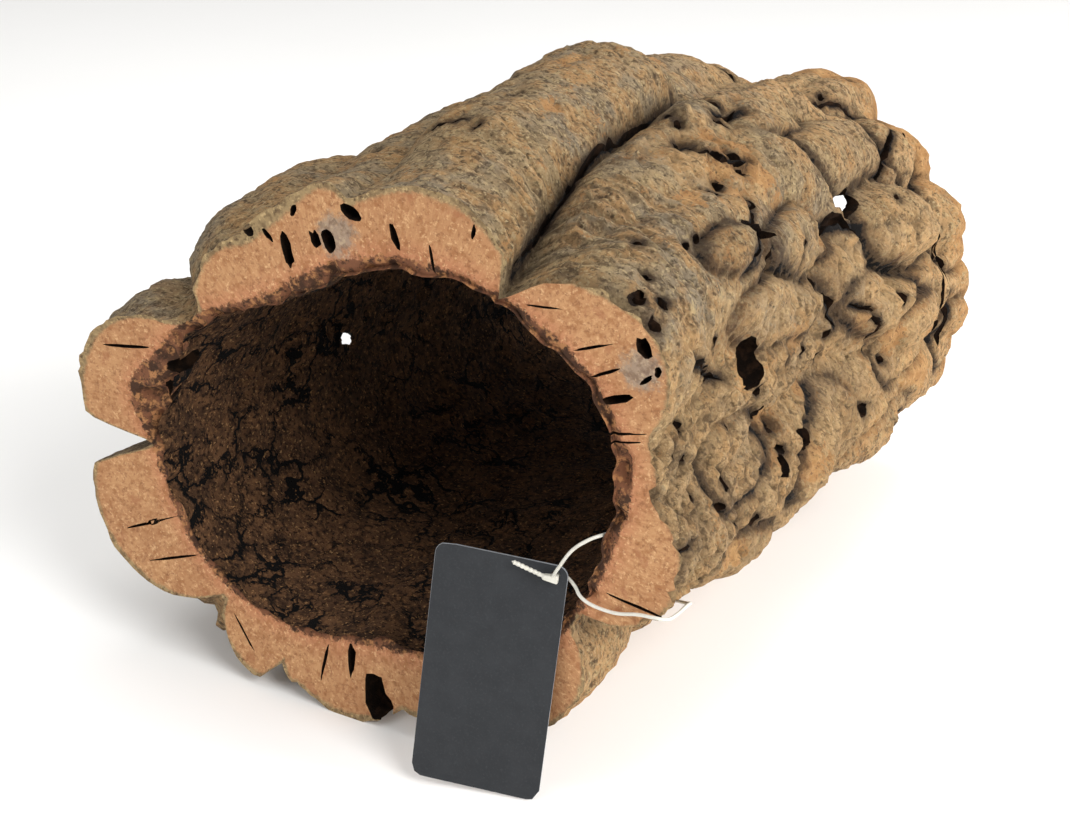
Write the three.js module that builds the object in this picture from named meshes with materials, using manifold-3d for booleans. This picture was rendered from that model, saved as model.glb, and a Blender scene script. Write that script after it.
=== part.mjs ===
// A hollow tube of raw cork bark, stripped whole from a branch and sawn across at the mouth.
// Thick rope-like ridges of bark run along it, split by deep furrows and swollen into knuckles.
// A blank swing tag leans on the mouth, tied on by a nylon loop that goes through the wall.
//
// Millimetres, +Z up. The tube lies along Y with its sawn mouth facing -Y, and stands on Z = 0.
// A place on it is a bearing in degrees (0 is +X, 90 is straight up) and a share along its length.
import * as THREE from 'three';
import Module from 'manifold-3d';
import { mergeVertices } from 'three/addons/utils/BufferGeometryUtils.js';

const TUBE_LENGTH = 300;
const WALL_BEHIND_ROPES = 9;     // bark left between the bore and the ropes of bark
const WALL_AT_FURROWS = 3.5;     // thinnest bark, at the bottom of a furrow
const KNUCKLE_REACH = 9;         // how far along the tube a fold between two knuckles fades out
const KNUCKLE_BOW = 0.035;       // how much a fold curls towards the mouth at a rope's edges
const CENTRING = { x: 11.15, y: 0 };   // moves the finished piece over the middle of its footprint

// The middle of the tube at five places from the mouth to the far end.
const MIDDLE = {
  x: [-8, -6, -4, 0, 4],
  z: [106, 106, 105, 97, 86],
};

// The bore is a leaning oval: its radius at every 30 degrees of bearing, and how it narrows.
const BORE_RADIUS = [93, 96, 84, 67, 62, 74, 90, 93, 82, 71, 74, 86];
const BORE_NARROWING = [1.0, 0.97, 0.93, 0.87, 0.82];

// Ropes of bark: bearing, height of the crest above the middle and radius of the rope itself, each
// at five places from the mouth to the far end, and the folds [share along, depth] across it.
const ROPES = {
  crown: {
    bearing: [69, 84, 88, 96, 104], crest: [106, 109, 112, 97, 82], radius: [36, 33, 34, 34, 30],
    folds: [[0.14, 3], [0.31, 2], [0.6, 7], [0.8, 3]],
  },
  crownLeft: {
    bearing: [106, 116, 122, 126, 130], crest: [92, 96, 100, 90, 78], radius: [42, 40, 40, 36, 32],
    folds: [[0.2, 2], [0.48, 4], [0.74, 3]],
  },
  shoulder: {
    bearing: [132, 150, 154, 156, 158], crest: [89, 112, 104, 94, 82], radius: [34, 36, 34, 32, 28],
    folds: [[0.36, 4], [0.66, 4]],
  },
  earLeft: {
    bearing: [181, 178, 180, 184, 186], crest: [126, 117, 108, 97, 88], radius: [36, 34, 32, 32, 28],
    folds: [[0.22, 5], [0.52, 5], [0.82, 3]],
  },
  cheekLeft: {
    bearing: [205, 206, 209, 212, 214], crest: [134, 126, 115, 102, 92], radius: [36, 34, 33, 30, 28],
    folds: [[0.16, 4], [0.44, 6], [0.7, 4]],
  },
  keelLeft: {
    bearing: [240, 238, 238, 240, 242], crest: [115, 116, 110, 98, 88], radius: [20, 26, 28, 28, 26],
    folds: [[0.3, 4], [0.62, 5]],
  },
  keel: {
    bearing: [259, 262, 264, 266, 268], crest: [107, 109, 108, 98, 88], radius: [35, 34, 32, 30, 28],
    folds: [[0.24, 4], [0.56, 4], [0.84, 3]],
  },
  keelMiddle: {
    bearing: [285, 290, 292, 292, 294], crest: [98, 112, 113, 100, 88], radius: [32, 30, 30, 30, 28],
    folds: [[0.12, 5], [0.46, 4], [0.78, 4]],
  },
  keelRight: {
    bearing: [314, 318, 318, 318, 320], crest: [109, 102, 104, 101, 92], radius: [30, 28, 28, 28, 28],
    folds: [[0.16, 5], [0.4, 3], [0.64, 5]],
  },
  cheekRight: {
    bearing: [355, 347, 343, 340, 338], crest: [120, 119, 116, 109, 99], radius: [28, 32, 33, 31, 28],
    folds: [[0.18, 4], [0.5, 5], [0.76, 4]],
  },
  earRight: {
    bearing: [12, 16, 18, 6, 2], crest: [113, 111, 108, 106, 101], radius: [50, 34, 30, 30, 28],
    folds: [[0.12, 3], [0.5, 8], [0.7, 4], [0.88, 4]],
  },
  knuckles: {
    bearing: [33, 36, 34, 22, 19], crest: [129, 124, 108, 107, 103], radius: [31, 30, 30, 27, 26],
    folds: [[0.18, 3], [0.56, 12], [0.66, 4], [0.92, 5]],
  },
  brow: {
    bearing: [46, 52, 46, 45, 42], crest: [106, 112, 113, 102, 98], radius: [28, 32, 31, 29, 28],
    folds: [[0.09, 2], [0.5, 5], [0.95, 4]],
  },
  ridge: {
    bearing: [50, 57, 61, 64, 66], crest: [103, 107, 107, 98, 98], radius: [28, 32, 31, 28, 26],
    folds: [[0.05, 2], [0.11, 2], [0.17, 2], [0.24, 2], [0.55, 4], [0.84, 4]],
  },
};

// Furrows that split the bark between ropes: bearing and depth at five places, and half the width.
const FURROWS = [
  { bearing: [53, 66, 71, 74, 76], depth: [14, 9, 8, 4, 0], reach: 7 },
  { bearing: [106, 108, 109, 112, 116], depth: [0, 0, 0, 0, 0], reach: 7 },
  { bearing: [151, 164, 168, 170, 172], depth: [8, 5, 3, 3, 2], reach: 9 },
  { bearing: [189.5, 192, 194, 197, 200], depth: [32, 14, 8, 5, 3], reach: 10 },
  { bearing: [246, 250, 251, 252, 254], depth: [12, 6, 4, 4, 3], reach: 6 },
  { bearing: [290, 292, 293, 294, 296], depth: [0, 0, 0, 0, 0], reach: 7 },
  { bearing: [335, 332, 331, 330, 330], depth: [8, 6, 5, 5, 4], reach: 8 },
  { bearing: [372, 370, 371, 374, 376], depth: [0, 0, 3, 5, 3], reach: 7 },
];

// Holes: rotten pits, bored channels and splits. Bearing, share along, half sizes across the bark,
// along the tube and into the wall, how deep the middle sits under the bark, and the turn on it.
const HOLES = [
  { bearing: 33, along: 0.665, half: [5, 9, 24], sunk: 8, turn: 20 },
  { bearing: 17, along: 0.245, half: [8, 12, 11], sunk: 5, turn: 30 },
  { bearing: 6, along: 0.28, half: [4, 7, 8], sunk: 4, turn: -20 },
  { bearing: 355, along: 0.37, half: [4, 5.5, 8], sunk: 4, turn: 10 },
  { bearing: 355, along: 0.285, half: [4.5, 4, 8], sunk: 4, turn: 0 },
  { bearing: 37, along: 0.33, half: [3.5, 14, 9], sunk: 5, turn: -24 },
  { bearing: 43, along: 0.93, half: [3.5, 13, 9], sunk: 5, turn: 20 },
  { bearing: 19, along: 0.49, half: [3.5, 8, 8], sunk: 4, turn: 30 },
  { bearing: 203, along: 0.33, half: [5, 9, 10], sunk: 5, turn: 15 },
  { bearing: 176, along: 0.62, half: [5, 7, 10], sunk: 4, turn: -20 },
  { bearing: 128, along: 0.42, half: [4, 10, 9], sunk: 4, turn: 25 },
  { bearing: 330, along: 0.167, half: [3.5, 3.5, 16], sunk: 4, turn: 0 },
];

// Grid of the two skins: columns run along the furrows, and rows run around the tube.
const COLUMNS_PER_FURROW = 12;
const OUTER_ROWS = 36;
const INNER_ROWS = 12;
const OUTER_COLUMNS = FURROWS.length * COLUMNS_PER_FURROW;

// Swing tag: a thin card standing on one corner, with its middle, and its lean, roll and turn.
const TAG = {
  width: 45, height: 88, thickness: 0.8, corner: 4, holeRadius: 1.5, hole: { x: 18.3, z: 40.4 },
  middle: [46.0, -160.7, 45.8], lean: -6, roll: 5.5, turn: 16.9,
};

// Nylon loop: it runs from its lock head over the lip, along the bore, out by the last hole in the
// wall, round the right side, over the sawn face and through the tag's hole back to the head.
const LOOP_RADIUS = 0.6;
const LOOP_SIDES = 8;
const LOOP_STEPS = 78;
const LOOP_ROUTE = [
  [66.4, -153.9, 84.6], [69.6, -155.2, 90.0], [74.2, -154.8, 97.4], [79.2, -153.2, 101.8],
  [82.2, -148.6, 102.4], [79.4, -139.5, 97.2], [73.4, -126.5, 88.0], [66.6, -113.0, 77.4],
  [61.6, -103.6, 69.6], [64.8, -100.6, 65.4], [70.2, -100.0, 62.2], [76.4, -100.8, 58.8],
  [85.0, -105.0, 58.0], [94.0, -111.5, 62.0], [100.4, -120.5, 68.2], [104.4, -131.0, 74.2],
  [106.6, -142.5, 77.6], [106.3, -149.8, 79.0], [102.4, -151.9, 79.6], [96.6, -151.5, 78.8],
  [88.5, -151.3, 76.8], [80.4, -151.6, 77.4], [75.8, -151.4, 79.2], [72.6, -149.2, 80.8],
  [69.6, -147.7, 82.0], [67.2, -147.4, 82.8], [65.7, -149.4, 83.5],
  [66.7, -152.9, 83.9],
];
const LOCK_HEAD = { length: 5.4, width: 3.2, thickness: 2.4, nose: 1.6, beyondHole: 1.6, front: 3.1 };
const LOOP_TAIL = { length: 12, radius: 0.8, rise: 15 };

const wasm = await Module();
wasm.setup();

// Eases through evenly spaced keys with level stretches at each key.
function ease(keys, share) {
  const place = THREE.MathUtils.clamp(share, 0, 1) * (keys.length - 1);
  const key = Math.min(Math.floor(place), keys.length - 2);
  const part = place - key;
  return THREE.MathUtils.lerp(keys[key], keys[key + 1], part * part * (3 - 2 * part));
}

// Smooth closed curve through keys spread evenly over all bearings.
function around(keys, bearing) {
  const place = (THREE.MathUtils.euclideanModulo(bearing, 360) / 360) * keys.length;
  const key = Math.floor(place);
  const part = place - key;
  const [a, b, c, d] = [-1, 0, 1, 2].map((step) => keys[(key + step + keys.length) % keys.length]);
  return b + 0.5 * part * (c - a + part * (2 * a - 5 * b + 4 * c - d + part * (3 * (b - c) + d - a)));
}

// Signed angle in degrees from one bearing to another, in the range -180 to 180.
function turnBetween(from, to) {
  return THREE.MathUtils.euclideanModulo(to - from + 180, 360) - 180;
}

function boreRadius(bearing, share) {
  const oval = around(BORE_RADIUS, bearing) * ease(BORE_NARROWING, share);
  const lumps = 0.02 * Math.sin(THREE.MathUtils.degToRad(5 * bearing + 200 * share));
  return oval * (1 + lumps);
}

// Radius of one rope's skin: a circle that sits off the tube's middle, sunk at its folds.
function ropeRadius(rope, bearing, share) {
  const off = turnBetween(ease(rope.bearing, share), bearing);
  const turn = THREE.MathUtils.degToRad(off);
  const radius = ease(rope.radius, share);
  let crest = ease(rope.crest, share);
  for (const [place, depth] of rope.folds) {
    const fold = place - KNUCKLE_BOW * (off / 20) ** 2;
    crest -= depth * Math.exp(-Math.abs(share - fold) * TUBE_LENGTH / KNUCKLE_REACH);
  }
  const seat = crest - radius;
  const reach = radius ** 2 - (seat * Math.sin(turn)) ** 2;
  if (reach <= 0 || Math.cos(turn) <= 0) return 0;
  return seat * Math.cos(turn) + Math.sqrt(reach);
}

// The bark's skin is the outermost rope at each bearing, cut by the furrows.
function barkRadius(bearing, share) {
  const bore = boreRadius(bearing, share);
  let radius = bore + WALL_BEHIND_ROPES;
  for (const rope of Object.values(ROPES)) radius = Math.max(radius, ropeRadius(rope, bearing, share));
  for (const furrow of FURROWS) {
    const off = turnBetween(ease(furrow.bearing, share), bearing);
    const arc = Math.abs(THREE.MathUtils.degToRad(off)) * radius;
    radius -= ease(furrow.depth, share) * Math.max(0, 1 - arc / furrow.reach);
  }
  return Math.max(radius, bore + WALL_AT_FURROWS);
}

function placeAt(bearing, share, radius) {
  const turn = THREE.MathUtils.degToRad(bearing);
  return new THREE.Vector3(
    ease(MIDDLE.x, share) + radius * Math.cos(turn),
    TUBE_LENGTH * (share - 0.5),
    Math.max(0, ease(MIDDLE.z, share) + radius * Math.sin(turn)),
  );
}

// Bearing of a grid column: columns are spread evenly between neighbouring furrows.
function columnBearing(column, columns, share) {
  const place = (column / columns) * FURROWS.length;
  const here = Math.floor(place);
  const next = (here + 1) % FURROWS.length;
  const start = ease(FURROWS[here].bearing, share);
  const end = ease(FURROWS[next].bearing, share);
  return start + THREE.MathUtils.euclideanModulo(end - start, 360) * (place - here);
}

function solidFrom(geometry) {
  const bare = geometry.clone();
  bare.deleteAttribute('normal');
  bare.deleteAttribute('uv');
  const merged = mergeVertices(bare, 1e-4);
  return new wasm.Manifold(new wasm.Mesh({
    numProp: 3,
    vertProperties: Float32Array.from(merged.attributes.position.array),
    triVerts: Uint32Array.from(merged.index.array),
  }));
}

function geometryFrom(solid) {
  const { vertProperties, triVerts } = solid.getMesh();
  const geometry = new THREE.BufferGeometry();
  geometry.setAttribute('position', new THREE.BufferAttribute(vertProperties, 3));
  geometry.setIndex(new THREE.BufferAttribute(triVerts, 1));
  geometry.computeVertexNormals();
  return geometry;
}

// Closed skin of the tube: the bark outside, the bore inside, and a flat ring at each end.
function tubeGeometry() {
  const inner = OUTER_COLUMNS / 2;
  const positions = [];
  for (let row = 0; row <= OUTER_ROWS; row++) {
    for (let column = 0; column < OUTER_COLUMNS; column++) {
      const share = row / OUTER_ROWS;
      const bearing = columnBearing(column, OUTER_COLUMNS, share);
      positions.push(...placeAt(bearing, share, barkRadius(bearing, share)));
    }
  }
  const firstInner = positions.length / 3;
  for (let row = 0; row <= INNER_ROWS; row++) {
    for (let column = 0; column < inner; column++) {
      const share = row / INNER_ROWS;
      const bearing = columnBearing(column, inner, share);
      positions.push(...placeAt(bearing, share, boreRadius(bearing, share)));
    }
  }
  const outside = (row, column) => row * OUTER_COLUMNS + (column % OUTER_COLUMNS);
  const inside = (row, column) => firstInner + row * inner + (column % inner);
  const faces = [];
  for (let row = 0; row < OUTER_ROWS; row++) {
    for (let column = 0; column < OUTER_COLUMNS; column++) {
      const [a, b] = [outside(row, column), outside(row, column + 1)];
      const [c, d] = [outside(row + 1, column + 1), outside(row + 1, column)];
      faces.push(a, c, b, a, d, c);
    }
  }
  for (let row = 0; row < INNER_ROWS; row++) {
    for (let column = 0; column < inner; column++) {
      const [a, b] = [inside(row, column), inside(row, column + 1)];
      const [c, d] = [inside(row + 1, column + 1), inside(row + 1, column)];
      faces.push(a, b, c, a, c, d);
    }
  }
  for (let column = 0; column < inner; column++) {
    const mouth = [0, 1, 2].map((step) => outside(0, 2 * column + step));
    const [near, beside] = [inside(0, column), inside(0, column + 1)];
    faces.push(mouth[0], mouth[1], near, near, mouth[1], beside, mouth[1], mouth[2], beside);
    const far = [0, 1, 2].map((step) => outside(OUTER_ROWS, 2 * column + step));
    const [nearFar, besideFar] = [inside(INNER_ROWS, column), inside(INNER_ROWS, column + 1)];
    faces.push(far[0], nearFar, far[1], nearFar, besideFar, far[1], far[1], besideFar, far[2]);
  }
  const geometry = new THREE.BufferGeometry();
  geometry.setAttribute('position', new THREE.Float32BufferAttribute(positions, 3));
  geometry.setIndex(faces);
  return geometry;
}

// One hole as a lumpy pebble that points into the wall.
function holeGeometry(hole, seed) {
  const geometry = new THREE.IcosahedronGeometry(1, 1);
  const points = geometry.attributes.position;
  const spot = new THREE.Vector3();
  for (let index = 0; index < points.count; index++) {
    spot.fromBufferAttribute(points, index);
    const lump = 1 + 0.16 * Math.sin(7 * spot.x + 5 * spot.y + 4 * spot.z + 2.4 * seed);
    spot.multiplyScalar(lump).multiply(new THREE.Vector3(...hole.half));
    points.setXYZ(index, spot.x, spot.y, spot.z);
  }
  const turn = THREE.MathUtils.degToRad(hole.bearing);
  const outward = new THREE.Vector3(Math.cos(turn), 0, Math.sin(turn));
  const across = new THREE.Vector3(Math.sin(turn), 0, -Math.cos(turn));
  const pose = new THREE.Matrix4().makeBasis(across, new THREE.Vector3(0, 1, 0), outward);
  geometry.rotateZ(THREE.MathUtils.degToRad(hole.turn));
  geometry.applyMatrix4(pose);
  const middle = placeAt(hole.bearing, hole.along, barkRadius(hole.bearing, hole.along) - hole.sunk);
  geometry.translate(middle.x, middle.y, middle.z);
  return geometry;
}

function corkBarkTube() {
  let solid = solidFrom(tubeGeometry());
  HOLES.forEach((hole, seed) => {
    solid = solid.subtract(solidFrom(holeGeometry(hole, seed)));
  });
  return geometryFrom(solid);
}

// Card in its own frame: width along X, thickness along Y and height along Z, middle at zero.
function swingTag() {
  const { width, height, thickness, corner, holeRadius, hole } = TAG;
  const [right, top] = [width / 2, height / 2];
  const outline = new THREE.Shape();
  outline.absarc(right - corner, top - corner, corner, 0, Math.PI / 2);
  outline.absarc(corner - right, top - corner, corner, Math.PI / 2, Math.PI);
  outline.absarc(corner - right, corner - top, corner, Math.PI, 1.5 * Math.PI);
  outline.absarc(right - corner, corner - top, corner, 1.5 * Math.PI, 2 * Math.PI);
  const punched = new THREE.Path();
  punched.absarc(hole.x, hole.z, holeRadius, 0, 2 * Math.PI, true);
  outline.holes.push(punched);
  const geometry = new THREE.ExtrudeGeometry(outline, { depth: thickness, bevelEnabled: false, curveSegments: 6 });
  geometry.rotateX(Math.PI / 2);
  geometry.translate(0, thickness / 2, 0);
  return geometry;
}

function standLikeTag(object) {
  object.position.set(...TAG.middle);
  const [lean, roll, turn] = [TAG.lean, TAG.roll, TAG.turn].map(THREE.MathUtils.degToRad);
  object.rotation.set(lean, roll, turn, 'ZXY');
  object.updateMatrix();
  return object;
}

// Loop, lock head and cut tail joined into one body. The head and tail are laid out on the tag.
function tagLoop() {
  const circle = new THREE.Shape();
  circle.absarc(0, 0, LOOP_RADIUS, 0, 2 * Math.PI);
  const route = new THREE.CatmullRomCurve3(LOOP_ROUTE.map((point) => new THREE.Vector3(...point)));
  const strand = new THREE.ExtrudeGeometry(circle, {
    steps: LOOP_STEPS, extrudePath: route, curveSegments: LOOP_SIDES / 2,
  });

  const { length, width, thickness, nose, beyondHole, front } = LOCK_HEAD;
  const wedge = new THREE.Shape([
    new THREE.Vector2(beyondHole, -width / 2), new THREE.Vector2(beyondHole, width / 2),
    new THREE.Vector2(beyondHole - length, nose / 2), new THREE.Vector2(beyondHole - length, -nose / 2),
  ]);
  const head = new THREE.ExtrudeGeometry(wedge, { depth: thickness, bevelEnabled: false });
  head.rotateX(Math.PI / 2);
  head.translate(TAG.hole.x, thickness / 2 - front, TAG.hole.z);

  const tail = new THREE.CylinderGeometry(LOOP_TAIL.radius, LOOP_TAIL.radius, LOOP_TAIL.length, LOOP_SIDES);
  tail.rotateZ(Math.PI / 2);
  tail.translate(-LOOP_TAIL.length / 2, 0, 0);
  tail.rotateY(THREE.MathUtils.degToRad(LOOP_TAIL.rise));
  tail.translate(TAG.hole.x + beyondHole - length + 1, -front, TAG.hole.z);

  const onTag = standLikeTag(new THREE.Object3D()).matrix;
  return geometryFrom(
    solidFrom(strand).add(solidFrom(head.applyMatrix4(onTag))).add(solidFrom(tail.applyMatrix4(onTag))),
  );
}

const cork = new THREE.Mesh(
  corkBarkTube(),
  new THREE.MeshStandardMaterial({ color: '#8a7358', roughness: 0.92, metalness: 0 }),
);
cork.name = 'cork_bark_tube';

const tag = standLikeTag(new THREE.Mesh(
  swingTag(),
  new THREE.MeshStandardMaterial({ color: '#3a3d42', roughness: 0.55, metalness: 0 }),
));
tag.name = 'swing_tag';

const loop = new THREE.Mesh(
  tagLoop(),
  new THREE.MeshStandardMaterial({ color: '#e6e4dc', roughness: 0.35, metalness: 0 }),
);
loop.name = 'tag_loop';

const part = new THREE.Group();
part.add(cork, tag, loop);
part.position.set(CENTRING.x, CENTRING.y, 0);

export default part;
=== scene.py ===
import bmesh
import bpy
import numpy as np
from mathutils import Matrix, Vector


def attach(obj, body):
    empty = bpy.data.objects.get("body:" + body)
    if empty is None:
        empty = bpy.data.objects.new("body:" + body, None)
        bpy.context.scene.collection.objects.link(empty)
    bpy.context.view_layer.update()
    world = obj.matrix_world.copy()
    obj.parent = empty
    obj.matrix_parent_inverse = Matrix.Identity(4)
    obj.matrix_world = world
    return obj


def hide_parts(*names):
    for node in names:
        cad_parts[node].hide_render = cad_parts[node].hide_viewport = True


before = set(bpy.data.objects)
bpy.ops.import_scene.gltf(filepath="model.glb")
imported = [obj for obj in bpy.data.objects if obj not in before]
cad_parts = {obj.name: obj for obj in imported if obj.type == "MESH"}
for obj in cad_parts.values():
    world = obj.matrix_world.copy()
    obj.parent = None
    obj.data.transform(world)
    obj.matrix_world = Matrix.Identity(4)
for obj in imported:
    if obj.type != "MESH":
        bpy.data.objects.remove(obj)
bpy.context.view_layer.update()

MM = 0.001

# Cork bark tube
# A whole sleeve of virgin cork bark, stripped from a branch of cork oak and sawn across at the mouth.
# Thick ropes of bark run along it, wrinkled into rings where the branch grew, cracked and pitted.
TUBE_LENGTH = 300.0
WALL_BEHIND_ROPES = 9.0
WALL_AT_FURROWS = 3.5
KNUCKLE_REACH = 9.0
KNUCKLE_BOW = 0.035
CENTRING = np.array([11.15, 0.0, 0.0])
NOTHING_NEAR = 9.0

# The tube's bent middle line at five places along, then the bore's radius at twelve bearings and how
# it narrows along the tube.
MIDDLE_X = (-8, -6, -4, 0, 4)
MIDDLE_Z = (106, 106, 105, 97, 86)
BORE_RADIUS = (93, 96, 84, 67, 62, 74, 90, 93, 82, 71, 74, 86)
BORE_NARROWING = (1.0, 0.97, 0.93, 0.87, 0.82)

# Each rope of bark: bearing, crest height and rope radius at five places along, then its folds as share
# along and depth.
ROPES = {
    "crown": ((69, 84, 88, 96, 104), (106, 109, 112, 97, 82), (36, 33, 34, 34, 30),
              ((0.14, 3), (0.31, 2), (0.6, 7), (0.8, 3))),
    "crown_left": ((106, 116, 122, 126, 130), (92, 96, 100, 90, 78), (42, 40, 40, 36, 32),
                   ((0.2, 2), (0.48, 4), (0.74, 3))),
    "shoulder": ((132, 150, 154, 156, 158), (89, 112, 104, 94, 82), (34, 36, 34, 32, 28),
                 ((0.36, 4), (0.66, 4))),
    "ear_left": ((181, 178, 180, 184, 186), (126, 117, 108, 97, 88), (36, 34, 32, 32, 28),
                 ((0.22, 5), (0.52, 5), (0.82, 3))),
    "cheek_left": ((205, 206, 209, 212, 214), (134, 126, 115, 102, 92), (36, 34, 33, 30, 28),
                   ((0.16, 4), (0.44, 6), (0.7, 4))),
    "keel_left": ((240, 238, 238, 240, 242), (115, 116, 110, 98, 88), (20, 26, 28, 28, 26),
                  ((0.3, 4), (0.62, 5))),
    "keel": ((259, 262, 264, 266, 268), (107, 109, 108, 98, 88), (35, 34, 32, 30, 28),
             ((0.24, 4), (0.56, 4), (0.84, 3))),
    "keel_middle": ((285, 290, 292, 292, 294), (98, 112, 113, 100, 88), (32, 30, 30, 30, 28),
                    ((0.12, 5), (0.46, 4), (0.78, 4))),
    "keel_right": ((314, 318, 318, 318, 320), (109, 102, 104, 101, 92), (30, 28, 28, 28, 28),
                   ((0.16, 5), (0.4, 3), (0.64, 5))),
    "cheek_right": ((355, 347, 343, 340, 338), (120, 119, 116, 109, 99), (28, 32, 33, 31, 28),
                    ((0.18, 4), (0.5, 5), (0.76, 4))),
    "ear_right": ((12, 16, 18, 6, 2), (113, 111, 108, 106, 101), (50, 34, 30, 30, 28),
                  ((0.12, 3), (0.5, 8), (0.7, 4), (0.88, 4))),
    "knuckles": ((33, 36, 34, 22, 19), (129, 124, 108, 107, 103), (31, 30, 30, 27, 26),
                 ((0.18, 3), (0.56, 12), (0.66, 4), (0.92, 5))),
    "brow": ((46, 52, 46, 45, 42), (106, 112, 113, 102, 98), (28, 32, 31, 29, 28),
             ((0.09, 2), (0.5, 5), (0.95, 4))),
    "ridge": ((50, 57, 61, 64, 66), (103, 107, 107, 98, 98), (28, 32, 31, 28, 26),
              ((0.05, 2), (0.11, 2), (0.17, 2), (0.24, 2), (0.55, 4), (0.84, 4))),
}
# Furrows between ropes: bearing and depth at five places along, and half the width. The two of no depth
# only keep the columns of the grid evenly spread.
FURROWS = (
    ((53, 66, 71, 74, 76), (14, 9, 8, 4, 0), 7),
    ((106, 108, 109, 112, 116), (0, 0, 0, 0, 0), 7),
    ((151, 164, 168, 170, 172), (8, 5, 3, 3, 2), 9),
    ((189.5, 192, 194, 197, 200), (32, 14, 8, 5, 3), 10),
    ((246, 250, 251, 252, 254), (12, 6, 4, 4, 3), 6),
    ((290, 292, 293, 294, 296), (0, 0, 0, 0, 0), 7),
    ((335, 332, 331, 330, 330), (8, 6, 5, 5, 4), 8),
    ((372, 370, 371, 374, 376), (0, 0, 3, 5, 3), 7),
)
# The cork's grid: columns round the tube, and rows on the bark, the sawn face, the bore and the far end.
COLUMNS = 304
OUTER_ROWS = 208
FACE_ROWS = 16
BORE_ROWS = 50
FAR_ROWS = 5
# The cork's materials in the order of their slots.
BARK, SAWN, LINING, HOLE = 0, 1, 2, 3


def ease(keys, share):
    """Cosine-like blend through evenly spaced keys, level at each key, for share 0 to 1."""
    keys = np.asarray(keys, float)
    place = np.clip(share, 0, 1) * (len(keys) - 1)
    key = np.minimum(place.astype(int), len(keys) - 2)
    part = place - key
    return keys[key] + (keys[key + 1] - keys[key]) * part * part * (3 - 2 * part)


def around(keys, bearing):
    """Smooth closed curve through keys spread evenly over all bearings, by the Catmull-Rom formula."""
    keys = np.asarray(keys, float)
    place = np.mod(bearing, 360) / 360 * len(keys)
    key = np.floor(place).astype(int)
    part = place - key
    a, b, c, d = (keys[(key + step) % len(keys)] for step in (-1, 0, 1, 2))
    return b + part / 2 * (c - a + part * (2 * a - 5 * b + 4 * c - d + part * (3 * (b - c) + d - a)))


def turn_between(start, end):
    """Signed angle in degrees from one bearing to another."""
    return np.mod(end - start + 180, 360) - 180


def near_bearing(bearing, middle, spread, power=2):
    """Bell round a bearing: 1 in its middle and falling off past the spread, more squarely for a higher
    power."""
    return np.exp(-((turn_between(middle, bearing) / spread) ** power))


def bore_radius(bearing, share):
    """Leaning oval that narrows along the tube, with slow lumps round it."""
    lumps = 0.02 * np.sin(np.radians(5 * bearing + 200 * share))
    return around(BORE_RADIUS, bearing) * ease(BORE_NARROWING, share) * (1 + lumps)


def bark_radius(bearing, share):
    """Outermost of the ropes, each a circle set off the middle and sunk at its folds, cut by furrows."""
    bore = bore_radius(bearing, share)
    skin = bore + WALL_BEHIND_ROPES
    for bearings, crests, radii, folds in ROPES.values():
        off = turn_between(ease(bearings, share), bearing)
        turn = np.radians(off)
        radius = ease(radii, share)
        crest = ease(crests, share)
        for place, depth in folds:
            fold = place - KNUCKLE_BOW * (off / 20) ** 2
            crest = crest - depth * np.exp(-np.abs(share - fold) * TUBE_LENGTH / KNUCKLE_REACH)
        seat = crest - radius
        reach = radius**2 - (seat * np.sin(turn)) ** 2
        rope = seat * np.cos(turn) + np.sqrt(np.maximum(reach, 0))
        skin = np.maximum(skin, np.where((reach > 0) & (np.cos(turn) > 0), rope, 0))
    for bearings, depths, half_width in FURROWS:
        arc = np.abs(np.radians(turn_between(ease(bearings, share), bearing))) * skin
        skin = skin - ease(depths, share) * np.maximum(0, 1 - arc / half_width)
    return np.maximum(skin, bore + WALL_AT_FURROWS)


def place_at(bearing, share, radius):
    """Point in mm at a bearing, a share along and a radius from the tube's own bent middle line."""
    turn = np.radians(bearing)
    across = ease(MIDDLE_X, share) + radius * np.cos(turn)
    height = ease(MIDDLE_Z, share) + radius * np.sin(turn)
    along = TUBE_LENGTH * (share - 0.5)
    return np.stack(np.broadcast_arrays(across, along, height), -1)


def column_bearing(column, share):
    """Bearing of a grid column: columns run along the furrows, evenly spread between neighbours."""
    place = column / COLUMNS * len(FURROWS)
    here = np.floor(place).astype(int) % len(FURROWS)
    starts = np.stack([ease(furrow[0], share) for furrow in FURROWS])
    ends = np.roll(starts, -1, axis=0)
    start = np.take_along_axis(starts, here[None], 0)[0]
    end = np.take_along_axis(ends, here[None], 0)[0]
    return start + np.mod(end - start, 360) * (place - np.floor(place))


def scatter(cell, seed):
    """Random number from 0 to 1 for each lattice cell, the same on every run: its three whole numbers and
    the seed are each times a large prime, joined bit by bit, then shifted onto themselves and mixed."""
    across, along, height = np.moveaxis(cell, -1, 0)
    mixed = across * 73856093 ^ along * 19349663 ^ height * 83492791 ^ seed * 2654435761
    mixed = (mixed ^ (mixed >> 13)) * 1274126177 & 0xFFFFFFFF
    mixed = (mixed ^ (mixed >> 15)) * 2246822519 & 0xFFFFFFFF
    return ((mixed ^ (mixed >> 16)) & 0xFFFF) / 0xFFFF


def lumpy(points, spacing, seed):
    """Smooth random relief from -1 to 1 with lumps of about that spacing in mm."""
    place = points / spacing
    cell = np.floor(place).astype(np.int64)
    part = place - cell
    part = part * part * (3 - 2 * part)
    total = np.zeros(points.shape[:-1])
    for corner in np.ndindex(2, 2, 2):
        weight = np.prod(np.where(corner, part, 1 - part), axis=-1)
        total += weight * scatter(cell + np.array(corner), seed)
    return 2 * total - 1


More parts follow.
